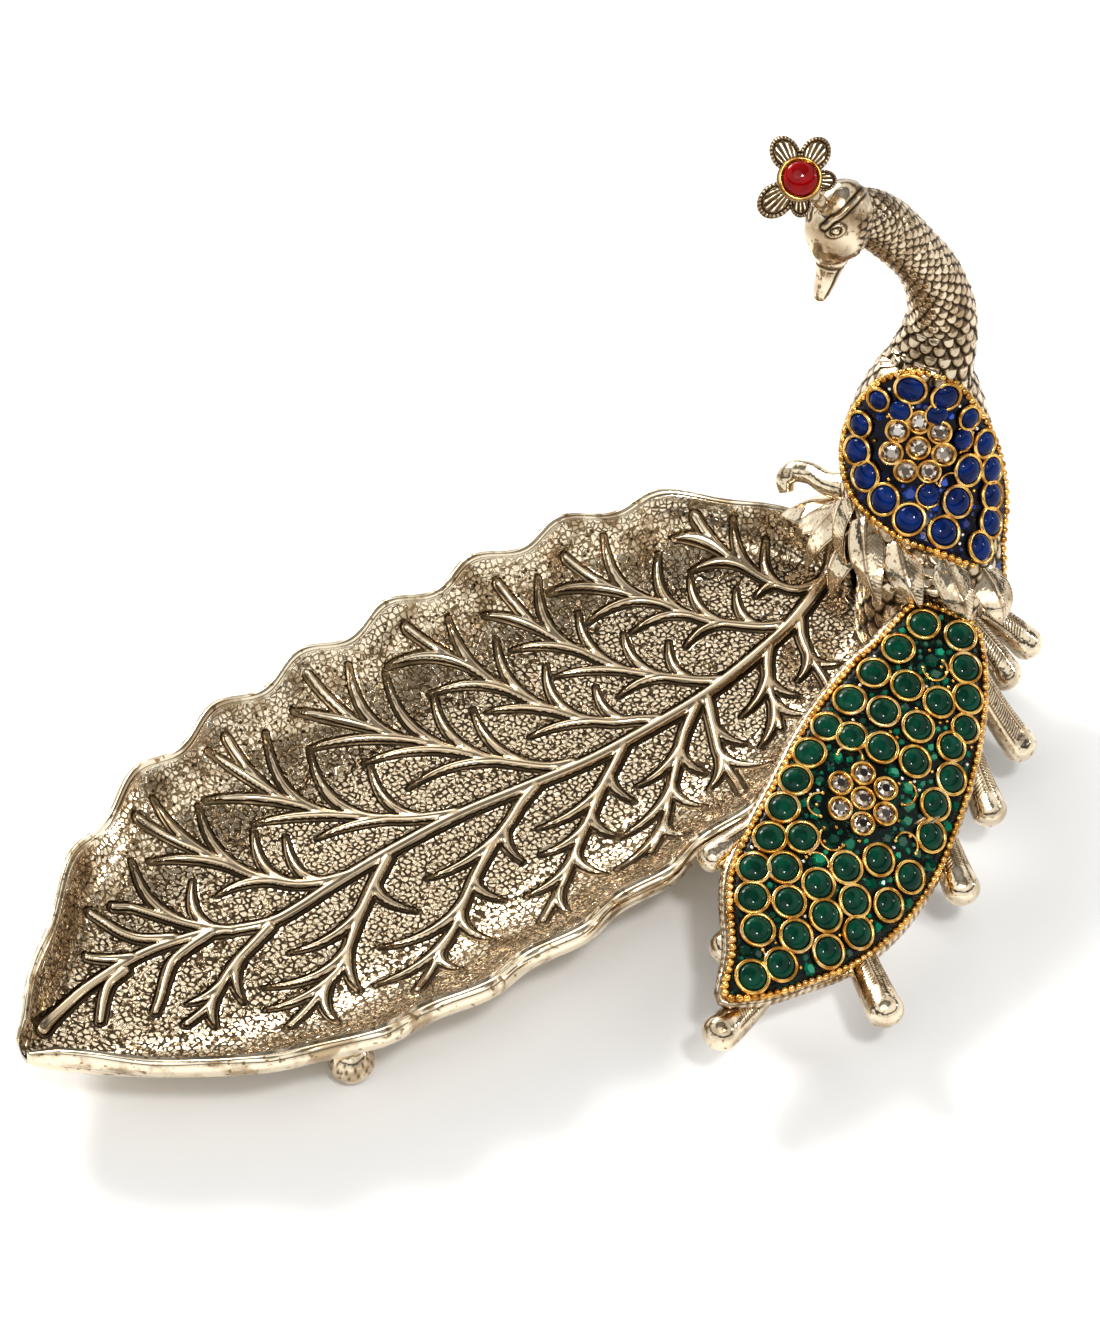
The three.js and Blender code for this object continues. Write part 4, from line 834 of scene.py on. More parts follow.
# A panel's plate with its collars, its flower, broken rings, chips and little balls.
def jewelPanel(name, panel, surface, fillFinish, chipFinish, node, chips, dots, seed, broken):
    casting = Casting()
    panelPlate(casting, panel["outline"], surface, 0.0, setting["plate"], setting["plateGrowth"], finish=1)
    taken = []  # what the chips keep clear of: the place and the radius
    rim = setting["rimShare"]
    for k, ((u, v), radius) in enumerate(zip(panel["stones"], stoneRadii(panel, surface))):
        ringWire(casting, seatFrame(surface, u, v), radius + rim, rim, setting["collarHeight"], seed=seed + k)
        taken.append((u, v, radius + 2 * rim - 0.1))
    for k, (u, v) in enumerate(panel.get("chips", [])):
        frameAt = seatFrame(surface, u, v)
        ringWire(casting, frameAt, *wires["chip"], start=200 - 150 * k, sweep=215, seed=seed + 60 + k)
        taken.append((u, v, 2.6))
    middle, flower = panelFrames(panel, surface)
    boss = panel["circle"] + 1.2
    casting.loft(seated(middle, revolved([(boss, -1.4), (boss, 0.25), (boss - 0.4, 0.35)], 40)), 1)
    for k, spot in enumerate(flower):
        ringWire(casting, spot, *wires["flower"], steps=30, seed=seed + 80 + k)
        casting.loft(seated(spot, revolved([(2.8, -0.2), (2.9, 0.4), (2.5, 0.45)], 20)), 0)
    taken.append((*panel["flower"], panel["circle"] + 3.4))
    for k, (u, v, turn, sweep) in enumerate(broken):
        frameAt = seatFrame(surface, u, v)
        ringWire(casting, frameAt, *wires["broken"], start=turn, sweep=sweep, seed=seed + 120 + k)
        for a in np.radians([turn, turn + sweep]):
            tip = frameAt[0] + wires["broken"][0] * (math.cos(a) * frameAt[1] + math.sin(a) * frameAt[2])
            ball(casting, (tip, *frameAt[1:]), 0.6, 0.6)
    for k, (u, v, room) in enumerate(freeSpots(panel, taken, chips, 0.7, seed + 1)):
        chip(casting, seatFrame(surface, u, v), room, seed + 200 + k, finish=2)
    for k, (u, v, room) in enumerate(freeSpots(panel, taken, dots, 0.42, seed + 2)):
        ball(casting, seatFrame(surface, u, v), 0.58, 0.4, finish=0 if k % 3 else 3)
    casting.make(name, [gold, fillFinish, chipFinish, crystalGlass], [node])


def stoneSet(name, surface, spots, radii, finish, nodes=()):
    casting = Casting()
    for (u, v), radius in zip(spots, radii):
        dome(casting, seatFrame(surface, u, v), radius, setting["stoneHeight"] + setting["proud"])
    casting.make(name, [finish], nodes)


def crystalSet(name, panel, surface, nodes):
    casting = Casting()
    height = setting["crystalHeight"] + setting["proud"]
    for k, spot in enumerate(panelFrames(panel, surface)[1]):
        brilliant(casting, spot, setting["crystalRadius"], height, seed=k + len(nodes))
    casting.make(name, [crystalGlass], nodes, smooth=False)


# Beads round a panel: near balls on a thin wire.
def beadedBorder(name, panel, surface, node):
    casting = Casting()
    ring = grownRing(panel["outline"], 240, setting["beadRadius"] + setting["clearance"])
    length = np.linalg.norm(np.roll(ring, -1, 0) - ring, axis=1).sum()
    spots = curve(ring, int(length / setting["beadPitch"]), closed=True)
    out, wire, drop = outward(ring), setting["beadWire"], setting["beadDrop"]
    loops = [surface(*(ring + out * wire * math.cos(a)).T, wire * math.sin(a) - drop) for a in around(6)]
    casting.loft(np.stack(loops, 1), round=True)
    rnd = random.Random(7)
    for u, v in spots:
        size = setting["beadRadius"] * rnd.uniform(*setting["beadScale"])
        ball(casting, seatFrame(surface, u, v), size, -0.2 + rnd.uniform(-0.06, 0.06), sides=12)
    casting.make(name, [gold], [node])


def numbered(name, count):
    return [f"{name}_{k + 1:02d}" for k in range(count)]


blueGlass = cabochonGlass("blueStone", (0.0006, 0.007, 0.055), (0.0012, 0.018, 0.13))
greenGlass = cabochonGlass("greenStone", (0.0002, 0.020, 0.010), (0.0005, 0.048, 0.024))
blueFill = enamel("blueFill", (0.001, 0.0015, 0.005), (0.006, 0.02, 0.16))
greenFill = enamel("greenFill", (0.001, 0.003, 0.0025), (0.0, 0.09, 0.05))
blueChips = chipGlass("blueChips", (0.002, 0.006, 0.05), (0.02, 0.09, 0.60))
greenChips = chipGlass("greenChips", (0.0005, 0.02, 0.012), (0.004, 0.33, 0.17))

jewelPanel(
    "backSetting", back, backPoint, blueFill, blueChips, "back_setting", 46, 16, 11,
    [(6.6, 31.4, 60, 120)],
)
jewelPanel(
    "tailSetting", tail, tailPoint, greenFill, greenChips, "tail_setting", 110, 40, 31,
    [(-48, 3.8, 300, 230), (-0.6, 22.8, 90, 200), (4.6, -1.6, 200, 190), (-12.2, 14.8, 20, 160),
     (-11.6, -2, 120, 170), (11, 5.6, 250, 200), (20, 5.9, 120, 120), (51.5, 5.2, 40, 120)],
)
backRadii, chipRadii = stoneRadii(back, backPoint), [back["chipRadius"]] * 4
stoneSet("backStones", backPoint, back["stones"], backRadii, blueGlass, numbered("back_stone", 17))
stoneSet("backChips", backPoint, back["chips"], chipRadii, blueGlass, numbered("back_chip", 4))
stoneSet("tailStones", tailPoint, tail["stones"], stoneRadii(tail, tailPoint), greenGlass)
crystalSet("backCrystals", back, backPoint, numbered("back_crystal", 8))
crystalSet("tailCrystals", tail, tailPoint, numbered("tail_crystal", 7))
beadedBorder("backBorder", back, backPoint, "back_border")
beadedBorder("tailBorder", tail, tailPoint, "tail_border")
print("panels set")


# Bird: rings of points round a path, from the reach to the side and the rise of each point.
def ringsAlong(path, side, reach, rise):
    path, side = np.asarray(path, dtype=float), np.asarray(side, dtype=float)
    ahead = unit(np.gradient(path, axis=0))
    across = unit(side - ahead * (ahead @ side)[:, None])
    over = np.cross(ahead, across)
    return path[:, None] + across[:, None] * reach[..., None] + over[:, None] * rise[..., None]


# Oval rings round a path.
def tubeRings(path, side, wide, high, columns, lift=0.0):
    turn = around(columns)
    reach = (np.asarray(wide, dtype=float)[:, None] + lift) * np.cos(turn)
    rise = (np.asarray(high, dtype=float)[:, None] + lift) * np.sin(turn)
    return ringsAlong(path, side, reach, rise)


# Overlapping feathers with round tips towards higher v: their height and their polish.
def scales(u, v, seed=3):
    rnd = np.random.RandomState(seed)
    table = rnd.uniform(-1, 1, (97, 61, 2))
    row = np.floor(v)
    column = np.floor(u + 0.5 * (row % 2))
    wobble = table[row.astype(int) % 97, column.astype(int) % 61]
    du = (u + 0.5 * (row % 2) - column - 0.5 + 0.13 * wobble[..., 0]) / 0.5
    dv = v - row
    edge = 1 - np.sqrt(du**2 + (dv / (0.9 + 0.1 * wobble[..., 1])) ** 2)
    upper = edge > 0
    top = (0.5 + 0.5 * dv + 0.22 * wobble[..., 0] * du) * np.clip(edge / 0.22, 0, 1) ** 0.5
    below = 0.05 + 0.42 * dv - 0.45 * bump(edge, 0, 0.16)
    quill = bump(du, 0, 0.12) * (edge > 0.25)
    height = np.where(upper, top + 0.08 * quill, below)
    polish = np.where(upper, np.clip((edge - 0.17) / 0.14, 0, 1), np.clip((-edge - 0.16) / 0.4, 0, 0.4))
    return height, 0.04 + 0.96 * polish * (0.86 + 0.14 * wobble[..., 1])


neck = dict(
    planeY=-12, scales=16, scaleLift=0.95, napeRun=20, columns=208, rows=300, spigotRadius=6, spigotLength=9,
    line=[(290.6, 104, 12), (292.4, 108.5, 11.1), (293.6, 115.4, 10), (293.6, 121.9, 9), (291.2, 129.8, 8.2),
          (287.1, 138.7, 7.5), (281.1, 147.6, 7), (273.8, 156.8, 7.2), (267.4, 164, 7.5), (262.4, 168.6, 7.3),
          (258, 171.6, 6.2), (254.2, 173.2, 4.2)],
)
head = dict(
    centre=(252, -12, 171.8), radii=(9.2, 7.6, 11.6), bow=11, eye=(-6.5, -5.2, 2.2), eyeAxis=(2.4, -1.7, 1.8),
    eyeSize=(2.0, 1.35), eyeball=0.95, rows=130, columns=190, cheekLift=0.55,
    brow=[(-8.2, -2.6, 2.4), (-7.9, -3.2, 3.4), (-7.1, -3.7, 4.9), (-5.6, -4.6, 6.2), (-3, -4.7, 8.3),
          (0.9, -3.8, 9.9), (5.4, -1.3, 9.6)],
    beakRoot=4, beakReach=23,
    beak=[(0, 5.4), (0.2, 5.1), (0.38, 4.4), (0.5, 3.6), (0.72, 2.9), (0.9, 2.1), (0.97, 1.5), (1, 0.7)],
)
headTurn = math.radians(head["bow"])
headAxes = np.array([
    [math.cos(headTurn), 0, -math.sin(headTurn)], [0, 1, 0], [math.sin(headTurn), 0, math.cos(headTurn)],
])


# A point of the head set in the drawing: its beak points down z, and the bow tilts it.
def onHead(local):
    return np.asarray(head["centre"], dtype=float) + np.asarray(local, dtype=float) @ headAxes


def neckTube(casting):
    line = curve([(x, neck["planeY"], z, r) for x, z, r in neck["line"]], neck["rows"])
    path, radius = line[:, :3], line[:, 3]
    turn = around(neck["columns"])
    run = runAlong(path)
    nape = np.clip((run - run[-1] + neck["napeRun"]) / 6, 0, 1)
    pitch = 0.86 * 2 * np.pi * radius / neck["scales"] * (1 - 0.35 * nape)
    rows = np.concatenate([[0], np.cumsum(np.diff(run) / pitch[1:])])
    u = turn[None] / (2 * np.pi) * neck["scales"] + 0 * rows[:, None]
    height, worn = scales(u, (rows[-1] - rows)[:, None] + 0 * u)
    lift = height * neck["scaleLift"] * (1 - 0.4 * nape[:, None]) - 0.25
    casting.loft(tubeRings(path, (0, 1, 0), radius, radius, neck["columns"], lift), worn=worn)
    x, z, _ = neck["line"][0]
    foot = [(x, neck["planeY"], z - neck["spigotLength"]), (x, neck["planeY"], z + 4)]
    thick = [neck["spigotRadius"]] * 2
    casting.loft(tubeRings(foot, (0, 1, 0), thick, thick, 32), worn=0.6)


def headShell(casting):
    tall = np.radians(np.linspace(-88, 88, head["rows"]))[:, None]
    turn = around(head["columns"])[None]
    out = np.stack([np.cos(tall) * np.cos(turn), np.cos(tall) * np.sin(turn), np.sin(tall) + 0 * turn], -1)
    local = out * np.array(head["radii"])
    normal = unit(out / np.array(head["radii"]))
    near = local.copy()
    near[..., 1] = -np.abs(near[..., 1])
    away = np.full(near.shape[:2], 99.0)
    for spot in curve(head["brow"], 70):
        away = np.minimum(away, np.linalg.norm(near - spot, axis=-1))
    axis = unit(head["eyeAxis"])
    offset = near - np.array(head["eye"])
    along = offset @ axis
    aside = np.sqrt(np.maximum((offset**2).sum(-1) - along**2, 0))
    long, wide = head["eyeSize"]
    eye = np.sqrt((along / long) ** 2 + (aside / wide) ** 2)
    lift = 0.4 * bump(away, 0, 0.6) + 0.5 * bump(eye, 1, 0.22) - 0.5 * (eye < 0.8)
    dark = bump(away, 1.0, 0.35) + bump(eye, 0.72, 0.14)
    dark = dark + 0.8 * bump(eye, 1.42, 0.14) * (away > 1.0)
    height, worn = scales(near[..., 2] / 2.3 + 20, near[..., 0] / 2.5 + 20, seed=4)
    cheek = np.clip((near[..., 0] + 0.6 + 0.3 * near[..., 2]) / 1.2, 0, 1) * np.clip((away - 1.2) / 0.6, 0, 1)
    cheek = cheek * np.clip((6.5 - near[..., 2]) / 2, 0, 1)
    lift = lift + head["cheekLift"] * cheek * height
    # Painted reflection: broad lighter and darker bands painted across the head.
    paintedReflectionBands = 0.8 + 0.2 * np.cos(0.62 * near[..., 2] + 0.5 * near[..., 0] + 1.4)
    worn = np.clip(1 - 1.3 * dark, 0.02, 1) * (1 - cheek * (1 - worn)) * paintedReflectionBands
    casting.loft(onHead(local + normal * lift[..., None]), worn=worn)
    for hand in (-1, 1):
        local = np.array(head["eye"]) * [1, -hand, 1]
        spot = onHead(local)
        out = unit(onHead(local * [1.3, 1.3, 1.1]) - spot)
        right = unit(np.cross([0, 0, 1], out))
        ball(casting, (spot, right, np.cross(out, right), out), head["eyeball"], -0.1, sides=18, worn=1.0)


def beak(casting):
    profile = curve(head["beak"], 90)
    share, radius = profile[:, 0], profile[:, 1]
    reach = head["beakRoot"] + share * (head["beakReach"] - head["beakRoot"])
    hook = 1.1 * np.clip(share - 0.3, 0, 1) ** 2 - 0.5 * np.sin(np.pi * share)
    path = onHead(np.stack([-hook, 0 * share, -reach], -1))
    turn = around(64)[None]
    mouth = bump(np.abs(np.cos(turn)), 1, 0.02) * (share > 0.42)[:, None] * (share < 0.93)[:, None]
    step = bump(share, 0.40, 0.025)[:, None]
    lift = -0.35 * mouth - 0.55 * step
    rings = tubeRings(path, (0, 1, 0), radius * 0.92, radius, 64, lift)
    casting.loft(rings, worn=np.clip(1 - mouth - 0.95 * step, 0.02, 1))


def neckAndHead():
    casting = Casting()
    neckTube(casting)
    headShell(casting)
    beak(casting)
    casting.make("neckAndHead", [featherSilver], ["neck_and_head"])


# Crest: five petals round a red stone
crest = dict(
    centre=(236.8, -12.5, 192.7), heading=-38.5, rise=44, reach=7.6, long=5.06, wide=4.05, thick=1.2, pegRadius=2,
    petals=((58, 0.91), (119, 0.91), (221, 1), (272, 0.66), (358, 0.66)),
    disc=[(0.1, -1.2), (5.2, -1.2), (5.6, -0.8), (5.6, 0.9), (5.2, 1.2), (0.1, 1.2)],
    stoneRadius=4.3, stoneHeight=2.6, bezelWall=0.6, bezelHeight=1.6, seat=1.5,
)
crestHeading, crestRise = math.radians(crest["heading"]), math.radians(crest["rise"])
crestFace = np.array([
    math.sin(crestHeading) * math.cos(crestRise), -math.cos(crestHeading) * math.cos(crestRise), math.sin(crestRise),
])
crestRight = np.array([math.cos(crestHeading), math.sin(crestHeading), 0])
crestFrame = (np.array(crest["centre"]), crestRight, np.cross(crestFace, crestRight), crestFace)


# A cupped petal with cuts towards its root and ticks along its rim.
def crestPetal(casting, degrees, size):
    share = np.concatenate([np.linspace(0.04, 0.62, 12), np.linspace(0.66, 1, 16)])[:, None]
    turn = around(96)[None]
    along, aside = size * crest["long"] * share * np.cos(turn), size * crest["wide"] * share * np.sin(turn)
    reach = crest["reach"] * (0.35 + 0.65 * size)
    fan = np.arctan2(aside, along + reach)
    cut = stripes(fan, 0.15) ** 1.5 * (share < 0.68)
    notch = (1 - stripes(turn, np.pi / 13)) ** 1.5 * (share > 0.76) * (share < 0.99)
    groove = bump(share, 0.72, 0.05)
    rim = bump(share, 0.86, 0.1)
    top = crest["thick"] * (1 - share**8) ** 0.5 * 0.7 + 0.42 * rim - 0.35 * groove - 0.22 * cut - 0.25 * notch
    under = -crest["thick"] * (1 - share**6) ** 0.5
    a = math.radians(degrees)
    spin = np.array([[math.cos(a), math.sin(a), 0], [-math.sin(a), math.cos(a), 0], [0, 0, 1]])
    rings = []
    for height, order in ((top, slice(None)), (under, slice(None, None, -1))):
        local = np.stack([along + reach, aside, height + 0 * along], -1)[order]
        rings.append(seated(crestFrame, local @ spin))
    dark = np.clip(groove + 0.85 * cut + notch + 0.18 + 0 * turn, 0, 0.98)
    casting.loft(np.concatenate(rings), worn=np.concatenate([1 - dark, 0.7 + 0 * dark]))


def crestFlower():
    casting = Casting()
    for degrees, size in crest["petals"]:
        crestPetal(casting, degrees, size)
    casting.loft(seated(crestFrame, revolved(crest["disc"], 48)), worn=0.5)
    away = unit(np.array(head["centre"]) - np.array(crest["centre"]))
    seat = np.array(head["centre"]) - away * head["radii"][2]
    stations = curve([crest["centre"], seat + away * 4], 40)
    swell = crest["pegRadius"] * (0.94 + 0.06 * np.cos(np.linspace(0, 9 * np.pi, 40)))
    casting.loft(tubeRings(stations, (0, 1, 0), swell, swell, 20), worn=0.7)
    casting.make("crestFlower", [featherSilver], ["crest_flower"])
    inner, seat = crest["stoneRadius"] + 0.3, crest["seat"]
    outer, top = inner + crest["bezelWall"], seat + crest["bezelHeight"]
    bezel = [(0.1, seat), (outer - 0.3, seat), (outer, seat + 0.4), (outer, top - 0.5), (outer - 0.15, top - 0.12),
             (outer - 0.4, top), (inner + 0.12, top - 0.1), (inner, top - 0.35), (inner, seat + 0.5),
             (0.1, seat + 0.5)]
    ring = Casting()
    turn = around(72)
    wobble = 0.006 * np.sin(3 * turn) + 0.004 * np.sin(7 * turn)
    ring.loft(seated(crestFrame, revolved(bezel, 72, wobble)))
    ring.make("crestBezel", [gold], ["crest_bezel"])
    stone = Casting()
    radius, foot = crest["stoneRadius"], seat + 0.8
    profile = [(radius * 0.98, foot), (radius, foot + 0.2)]
    profile += arc(8, 89, 14, radius, foot + 0.2, crest["stoneHeight"] - 0.2)
    stone.loft(seated(crestFrame, revolved(profile, 64)))
    stone.make("crestStone", [redGlass], ["crest_stone"])


# Body and its feathers
body = dict(
    hub=(282, -27), rows=210, columns=234, scales=26, scalePitch=3.9, scaleLift=0.7, sunk=1.0,
    low=[(0, 15, 15, 48.3), (1, 20, 18, 54), (3, 25, 20.5, 60)],
    high=[(66, 28.1, 21.5), (72, 25.7, 22), (80, 21.7, 21), (88, 18.4, 18.5), (96, 15.2, 15.5), (102, 12.8, 13)],
    behindPanel=1.9, round=(35, 80, 125), roundHalf=5.4,
    hanging=[((265.5, -11, 68), (259, -19.5, 53), 4.8), ((264.5, -20, 68), (253.8, -38.5, 56), 5),
             ((266, -31, 66.5), (260.6, -47, 57), 5), ((272.5, -42, 64.5), (268.4, -57.5, 55.5), 5),
             ((281, -49, 60), (278.5, -61, 51), 5.6)],
)


# The middle of the back panel at a height.
def backSpine(z):
    first = math.radians(back["topTilt"])
    rise = math.sin(first) + (back["top"][2] - z) / back["arcRadius"]
    tilt = math.asin(min(0.95, max(math.sin(first), rise)))
    return np.array(back["top"]) + backOut * back["arcRadius"] * (math.cos(first) - math.cos(tilt))


def bodyShell(casting):
    stations = []
    for out, long, wide, z in body["low"]:
        centre = np.array([*body["hub"], 0]) + backOut * out
        stations.append([centre[0], centre[1], z, long, wide])
    for z, long, wide in body["high"]:
        centre = backSpine(z) - backOut * (long + body["behindPanel"])
        stations.append([centre[0], centre[1], z, long, wide])
    fine = curve(stations, body["rows"])
    turn = around(body["columns"])[None]
    run = runAlong(fine[:, :3])[:, None]
    u, v = turn / (2 * np.pi) * body["scales"], (run[-1] - run) / body["scalePitch"]
    height, worn = scales(u, v + 0 * turn, seed=5)
    lift = body["scaleLift"] * height - body["sunk"]
    reach, rise = (fine[:, 3:4] + lift) * np.cos(turn), (fine[:, 4:5] + lift) * np.sin(turn)
    casting.loft(fine[:, None, :3] + backOut * reach[..., None] + backAcross * rise[..., None], worn=worn)


# A pointed feather: a roofed blade with barbs cut on both flanks, more faintly on the polished one.
feather = dict(rows=80, columns=56, barb=1.3, polished=0.25)


def blade(casting, path, side, wide, high, cut):
    turn = around(feather["columns"])[None]
    run = runAlong(path)[:, None]
    flank = np.abs(np.cos(turn))
    roof = np.where(np.sin(turn) > 0, (1 - flank**1.35), -0.55 * np.abs(np.sin(turn)))
    groove = stripes(run - 1.1 * flank * np.asarray(wide)[:, None], feather["barb"]) ** 2
    groove = groove * (np.sin(turn) > 0.05) * np.where(np.cos(turn) > 0, 1.0, feather["polished"])
    groove = groove * (flank > 0.12) * (flank < 0.93)
    reach = np.asarray(wide)[:, None] * np.cos(turn)
    rise = np.asarray(high)[:, None] * roof - cut * groove
    spine = bump(flank, 0.1, 0.05) * (np.sin(turn) > 0)
    rim = bump(flank, 0.95, 0.03) * (np.sin(turn) > -0.2)
    worn = np.clip(1 - min(0.9, 3 * cut) * groove - 0.5 * spine - 0.6 * rim, 0.03, 1) + 0 * run
    casting.loft(ringsAlong(path, side, reach, rise), worn=worn)


# A feather that hangs from its root to its pointed tip, with a ridge along it.
def petal(casting, root, tip, half, swell=4.5, cut=0.13, high=2.2, shape=0.3):
    start, end = np.array(root, dtype=float), np.array(tip, dtype=float)
    out = unit(((start + end) / 2 - [*body["hub"], 0]) * [1, 1, 0])
    middle = (start + end) / 2 + (out + [0, 0, 0.5]) * swell
    t = np.linspace(0, 1, feather["rows"])
    full = np.sin(np.pi * (shape + (1 - shape) * t)) ** 0.85 + 0.03
    path, rise = bent(start, middle, end, t), high * np.minimum(1, full * 1.3)
    blade(casting, path, (-out[1], out[0], 0), half * full, rise, cut)


def bodyCasting():
    casting = Casting()
    bodyShell(casting)
    for root, tip, half in body["hanging"]:
        petal(casting, root, tip, half)
    x, y = body["hub"]
    for a in np.radians(body["round"]):
        out = np.array([math.cos(a), math.sin(a), 0])
        petal(casting, np.array([x, y, 65]) + out * 20, np.array([x, y, 49]) + out * 26, body["roundHalf"])
    casting.make("bodyCasting", [featherSilver], ["body_casting"])


# Feather base: hub, plate under the tail, and the fingers
base = dict(
    hubProfile=[(15, 14), (18, 24), (18, 38), (17, 48)], plateDrop=2.1, plateThick=4, plateGrowth=1.0, fingerRadius=5,
    fingers=[((274, -77.5, 19), (-60, 12, 8.5)), ((250.5, -89.5, 19), (-46, 15, 8.5)),
             ((225.5, -105, 19), (-22, 20, 9)), ((182, -122, 19), (18, 17, 14)), ((143.5, -102, 20.5), (44, 14, 9)),
             ((163, -82, 20), (36, -1, 8.5))],
    rimFinger=((171.5, -65, 34.5), (-2, -5)), rimRadius=4.2,
    hubFingers=[((302.5, -51, 20), (292, -36, 31)), ((289, -56, 20), (285, -40, 33))],
    sheets=[((283, -2, 46), (270, 19, 38), 11.5), ((275, -4, 54), (267, 10, 38), 8.5),
            ((270, -6, 58), (259, -4, 39), 8.5), ((268, -14, 58), (255.5, -18, 42), 7.5)],
    curl=[(274.7, 22.5, 42, 2.0), (275.6, 24.2, 45, 2.6), (278.4, 23.6, 47, 3.1), (280.6, 18.8, 48, 3.0),
          (280.9, 12.3, 49, 3.4), (283.0, 7.1, 50, 4.2)],
    postRadius=5, postBottom=12.1, scales=20, scalePitch=5.2, scaleLift=0.7, sunk=0.5, carrierSide=(0.39, -0.92, 0),
    carrier=[(-58, 1, -13, 11, 7), (-30, 6, -12, 11, 6), (10, 8, -11, 11, 5.5), (45, 6, -9, 7, 4.5)],
    skirt=[(-2.5, -2.1), (0.4, -1.7), (1.3, -1.9), (1.9, -2.6), (1.9, -3.8), (1.3, -5.2), (0.2, -6.1), (-4, -6.1)],
    skirtCount=300, skirtRows=30, skirtGap=1.35, skirtPitch=1.7, skirtCut=0.3,
)


# A feather finger: a rod with a herringbone of barbs on top and a smooth round tip.
def finger(casting, tip, root, arch, radius):
    end, start = np.array(tip, dtype=float), np.array(root, dtype=float)
    middle = (start + end) / 2 + [0, 0, arch]
    t = np.linspace(0, 1, 90)
    ahead = unit(end - middle)
    turns = np.radians(np.linspace(8, 88, 16))
    cap = end + ahead * radius * 0.88 * np.sin(turns)[:, None]
    path = np.concatenate([bent(start, middle, end, t), cap])
    size = np.concatenate([0.78 + 0.22 * t**1.5, np.cos(turns)])
    turn = around(72)[None]
    run = runAlong(path)[:, None]
    left = run[-1] - run
    aside = np.abs(turn - np.pi / 2)
    zone = (aside < 0.9) * np.clip((left - 8.5) / 1.5, 0, 1)
    barbs = stripes(run - 2.4 * aside, 0.95) ** 2 * zone * (aside > 0.1)
    quill = bump(aside, 0.1, 0.05) * zone
    edge = bump(aside, 0.95, 0.05) * np.clip((left - 7) / 2, 0, 1)
    lift = -0.24 * barbs - 0.15 * quill - 0.25 * edge
    wide, high = radius * size, radius * 0.94 * size
    rings = tubeRings(path, (-ahead[1], ahead[0], 0), wide, high, 72, lift * np.minimum(1, size[:, None] * 1.2))
    # Painted reflection: the rod's sides and underside are painted darker than its top.
    flank = np.clip((aside - 1.1) / 0.5, 0, 1) * np.clip((left - 4) / 4, 0, 1)
    worn = np.clip(1 - 0.92 * barbs - 0.8 * quill - 0.85 * edge - 0.3 * flank, 0.03, 1)
    casting.loft(rings, worn=worn)


# The notched band round the tail panel and the plate under it.
def tailSkirt(casting):
    count, rows = base["skirtCount"], base["skirtRows"]
    line = grownRing(tail["outline"], count, base["skirtGap"])
    out = outward(line)
    run, row = runAlong(line)[:, None], np.arange(rows)[None]
    cut = stripes(run + 0.5 * row * 0.35, base["skirtPitch"]) ** 2 * (row > 6) * (row < 25)
    rings = np.zeros((count, rows, 3))
    for k, (reach, lift) in enumerate(curve(base["skirt"], rows)):
        spot = line + out * (reach - base["skirtCut"] * cut[:, k:k + 1])
        rings[:, k] = tailPoint(spot[:, 0], spot[:, 1], lift)
    casting.loft(rings, round=True, worn=1 - 0.75 * cut)
    panelPlate(casting, tail["outline"], tailPoint, -base["plateDrop"], base["plateThick"], base["plateGrowth"])


def featherBase():
    casting = Casting()
    hub = curve(base["hubProfile"], 70)
    turn = around(216)[None]
    u, v = turn / (2 * np.pi) * base["scales"], (hub[-1, 1] - hub[:, 1:2]) / base["scalePitch"]
    height, worn = scales(u, v + 0 * turn, seed=9)
    radius = hub[:, :1] + base["scaleLift"] * height - base["sunk"]
    x, y = body["hub"]
    rings = np.stack([x + radius * np.cos(turn), y + radius * np.sin(turn), hub[:, 1:2] + 0 * turn], -1)
    casting.loft(rings, worn=worn)
    tailSkirt(casting)
    carrier = [(*tailPoint(a, b, lift), wide, high) for a, b, lift, wide, high in base["carrier"]]
    carrier = curve([(x, y, 34, 13, 11), *carrier], 80)
    casting.loft(tubeRings(carrier[:, :3], base["carrierSide"], carrier[:, 3], carrier[:, 4], 40), worn=0.7)
    for foot, top in (("foot_tail", tailPoint(-18, 4)[2] - 10), ("foot_bird", 16)):
        post = [(base["postRadius"] * (1 + 0.25 * s**2), base["postBottom"] + s * (top - base["postBottom"]))
                for s in np.linspace(0, 1, 12)]
        casting.loft(seated(upright(*feet["spots"][foot]), revolved(post, 32)), worn=0.6)
    for tip, (a, b, deep) in base["fingers"]:
        finger(casting, tip, tailPoint(a, b, -deep), -2.5, base["fingerRadius"])
    for tip, root in base["hubFingers"]:
        finger(casting, tip, root, 2.5, base["fingerRadius"])
    for root, tip, half in base["sheets"]:
        petal(casting, root, tip, half, swell=3.5, cut=0.03, high=2.8, shape=0.36)
    curl = curve(base["curl"], 60)
    casting.loft(tubeRings(curl[:, :3], (0, 0, 1), curl[:, 3], curl[:, 3] * 1.15, 28), worn=1.0)
    tip, (a, b) = base["rimFinger"]
    finger(casting, tip, tailPoint(a, b, -6.5), 0, base["rimRadius"])
    casting.make("featherBase", [featherSilver], ["feather_base"])


# Ball feet and fasteners
feet = dict(
    radius=6.1, flat=2.4, studRadius=1.8, studLength=3,
    spots=dict(foot_front_left=(70.8, -41.2), foot_back_left=(70.8, 47.2), foot_back_right=(190, 54),
               foot_tail=(226, -86), foot_bird=(293, -27)),
)


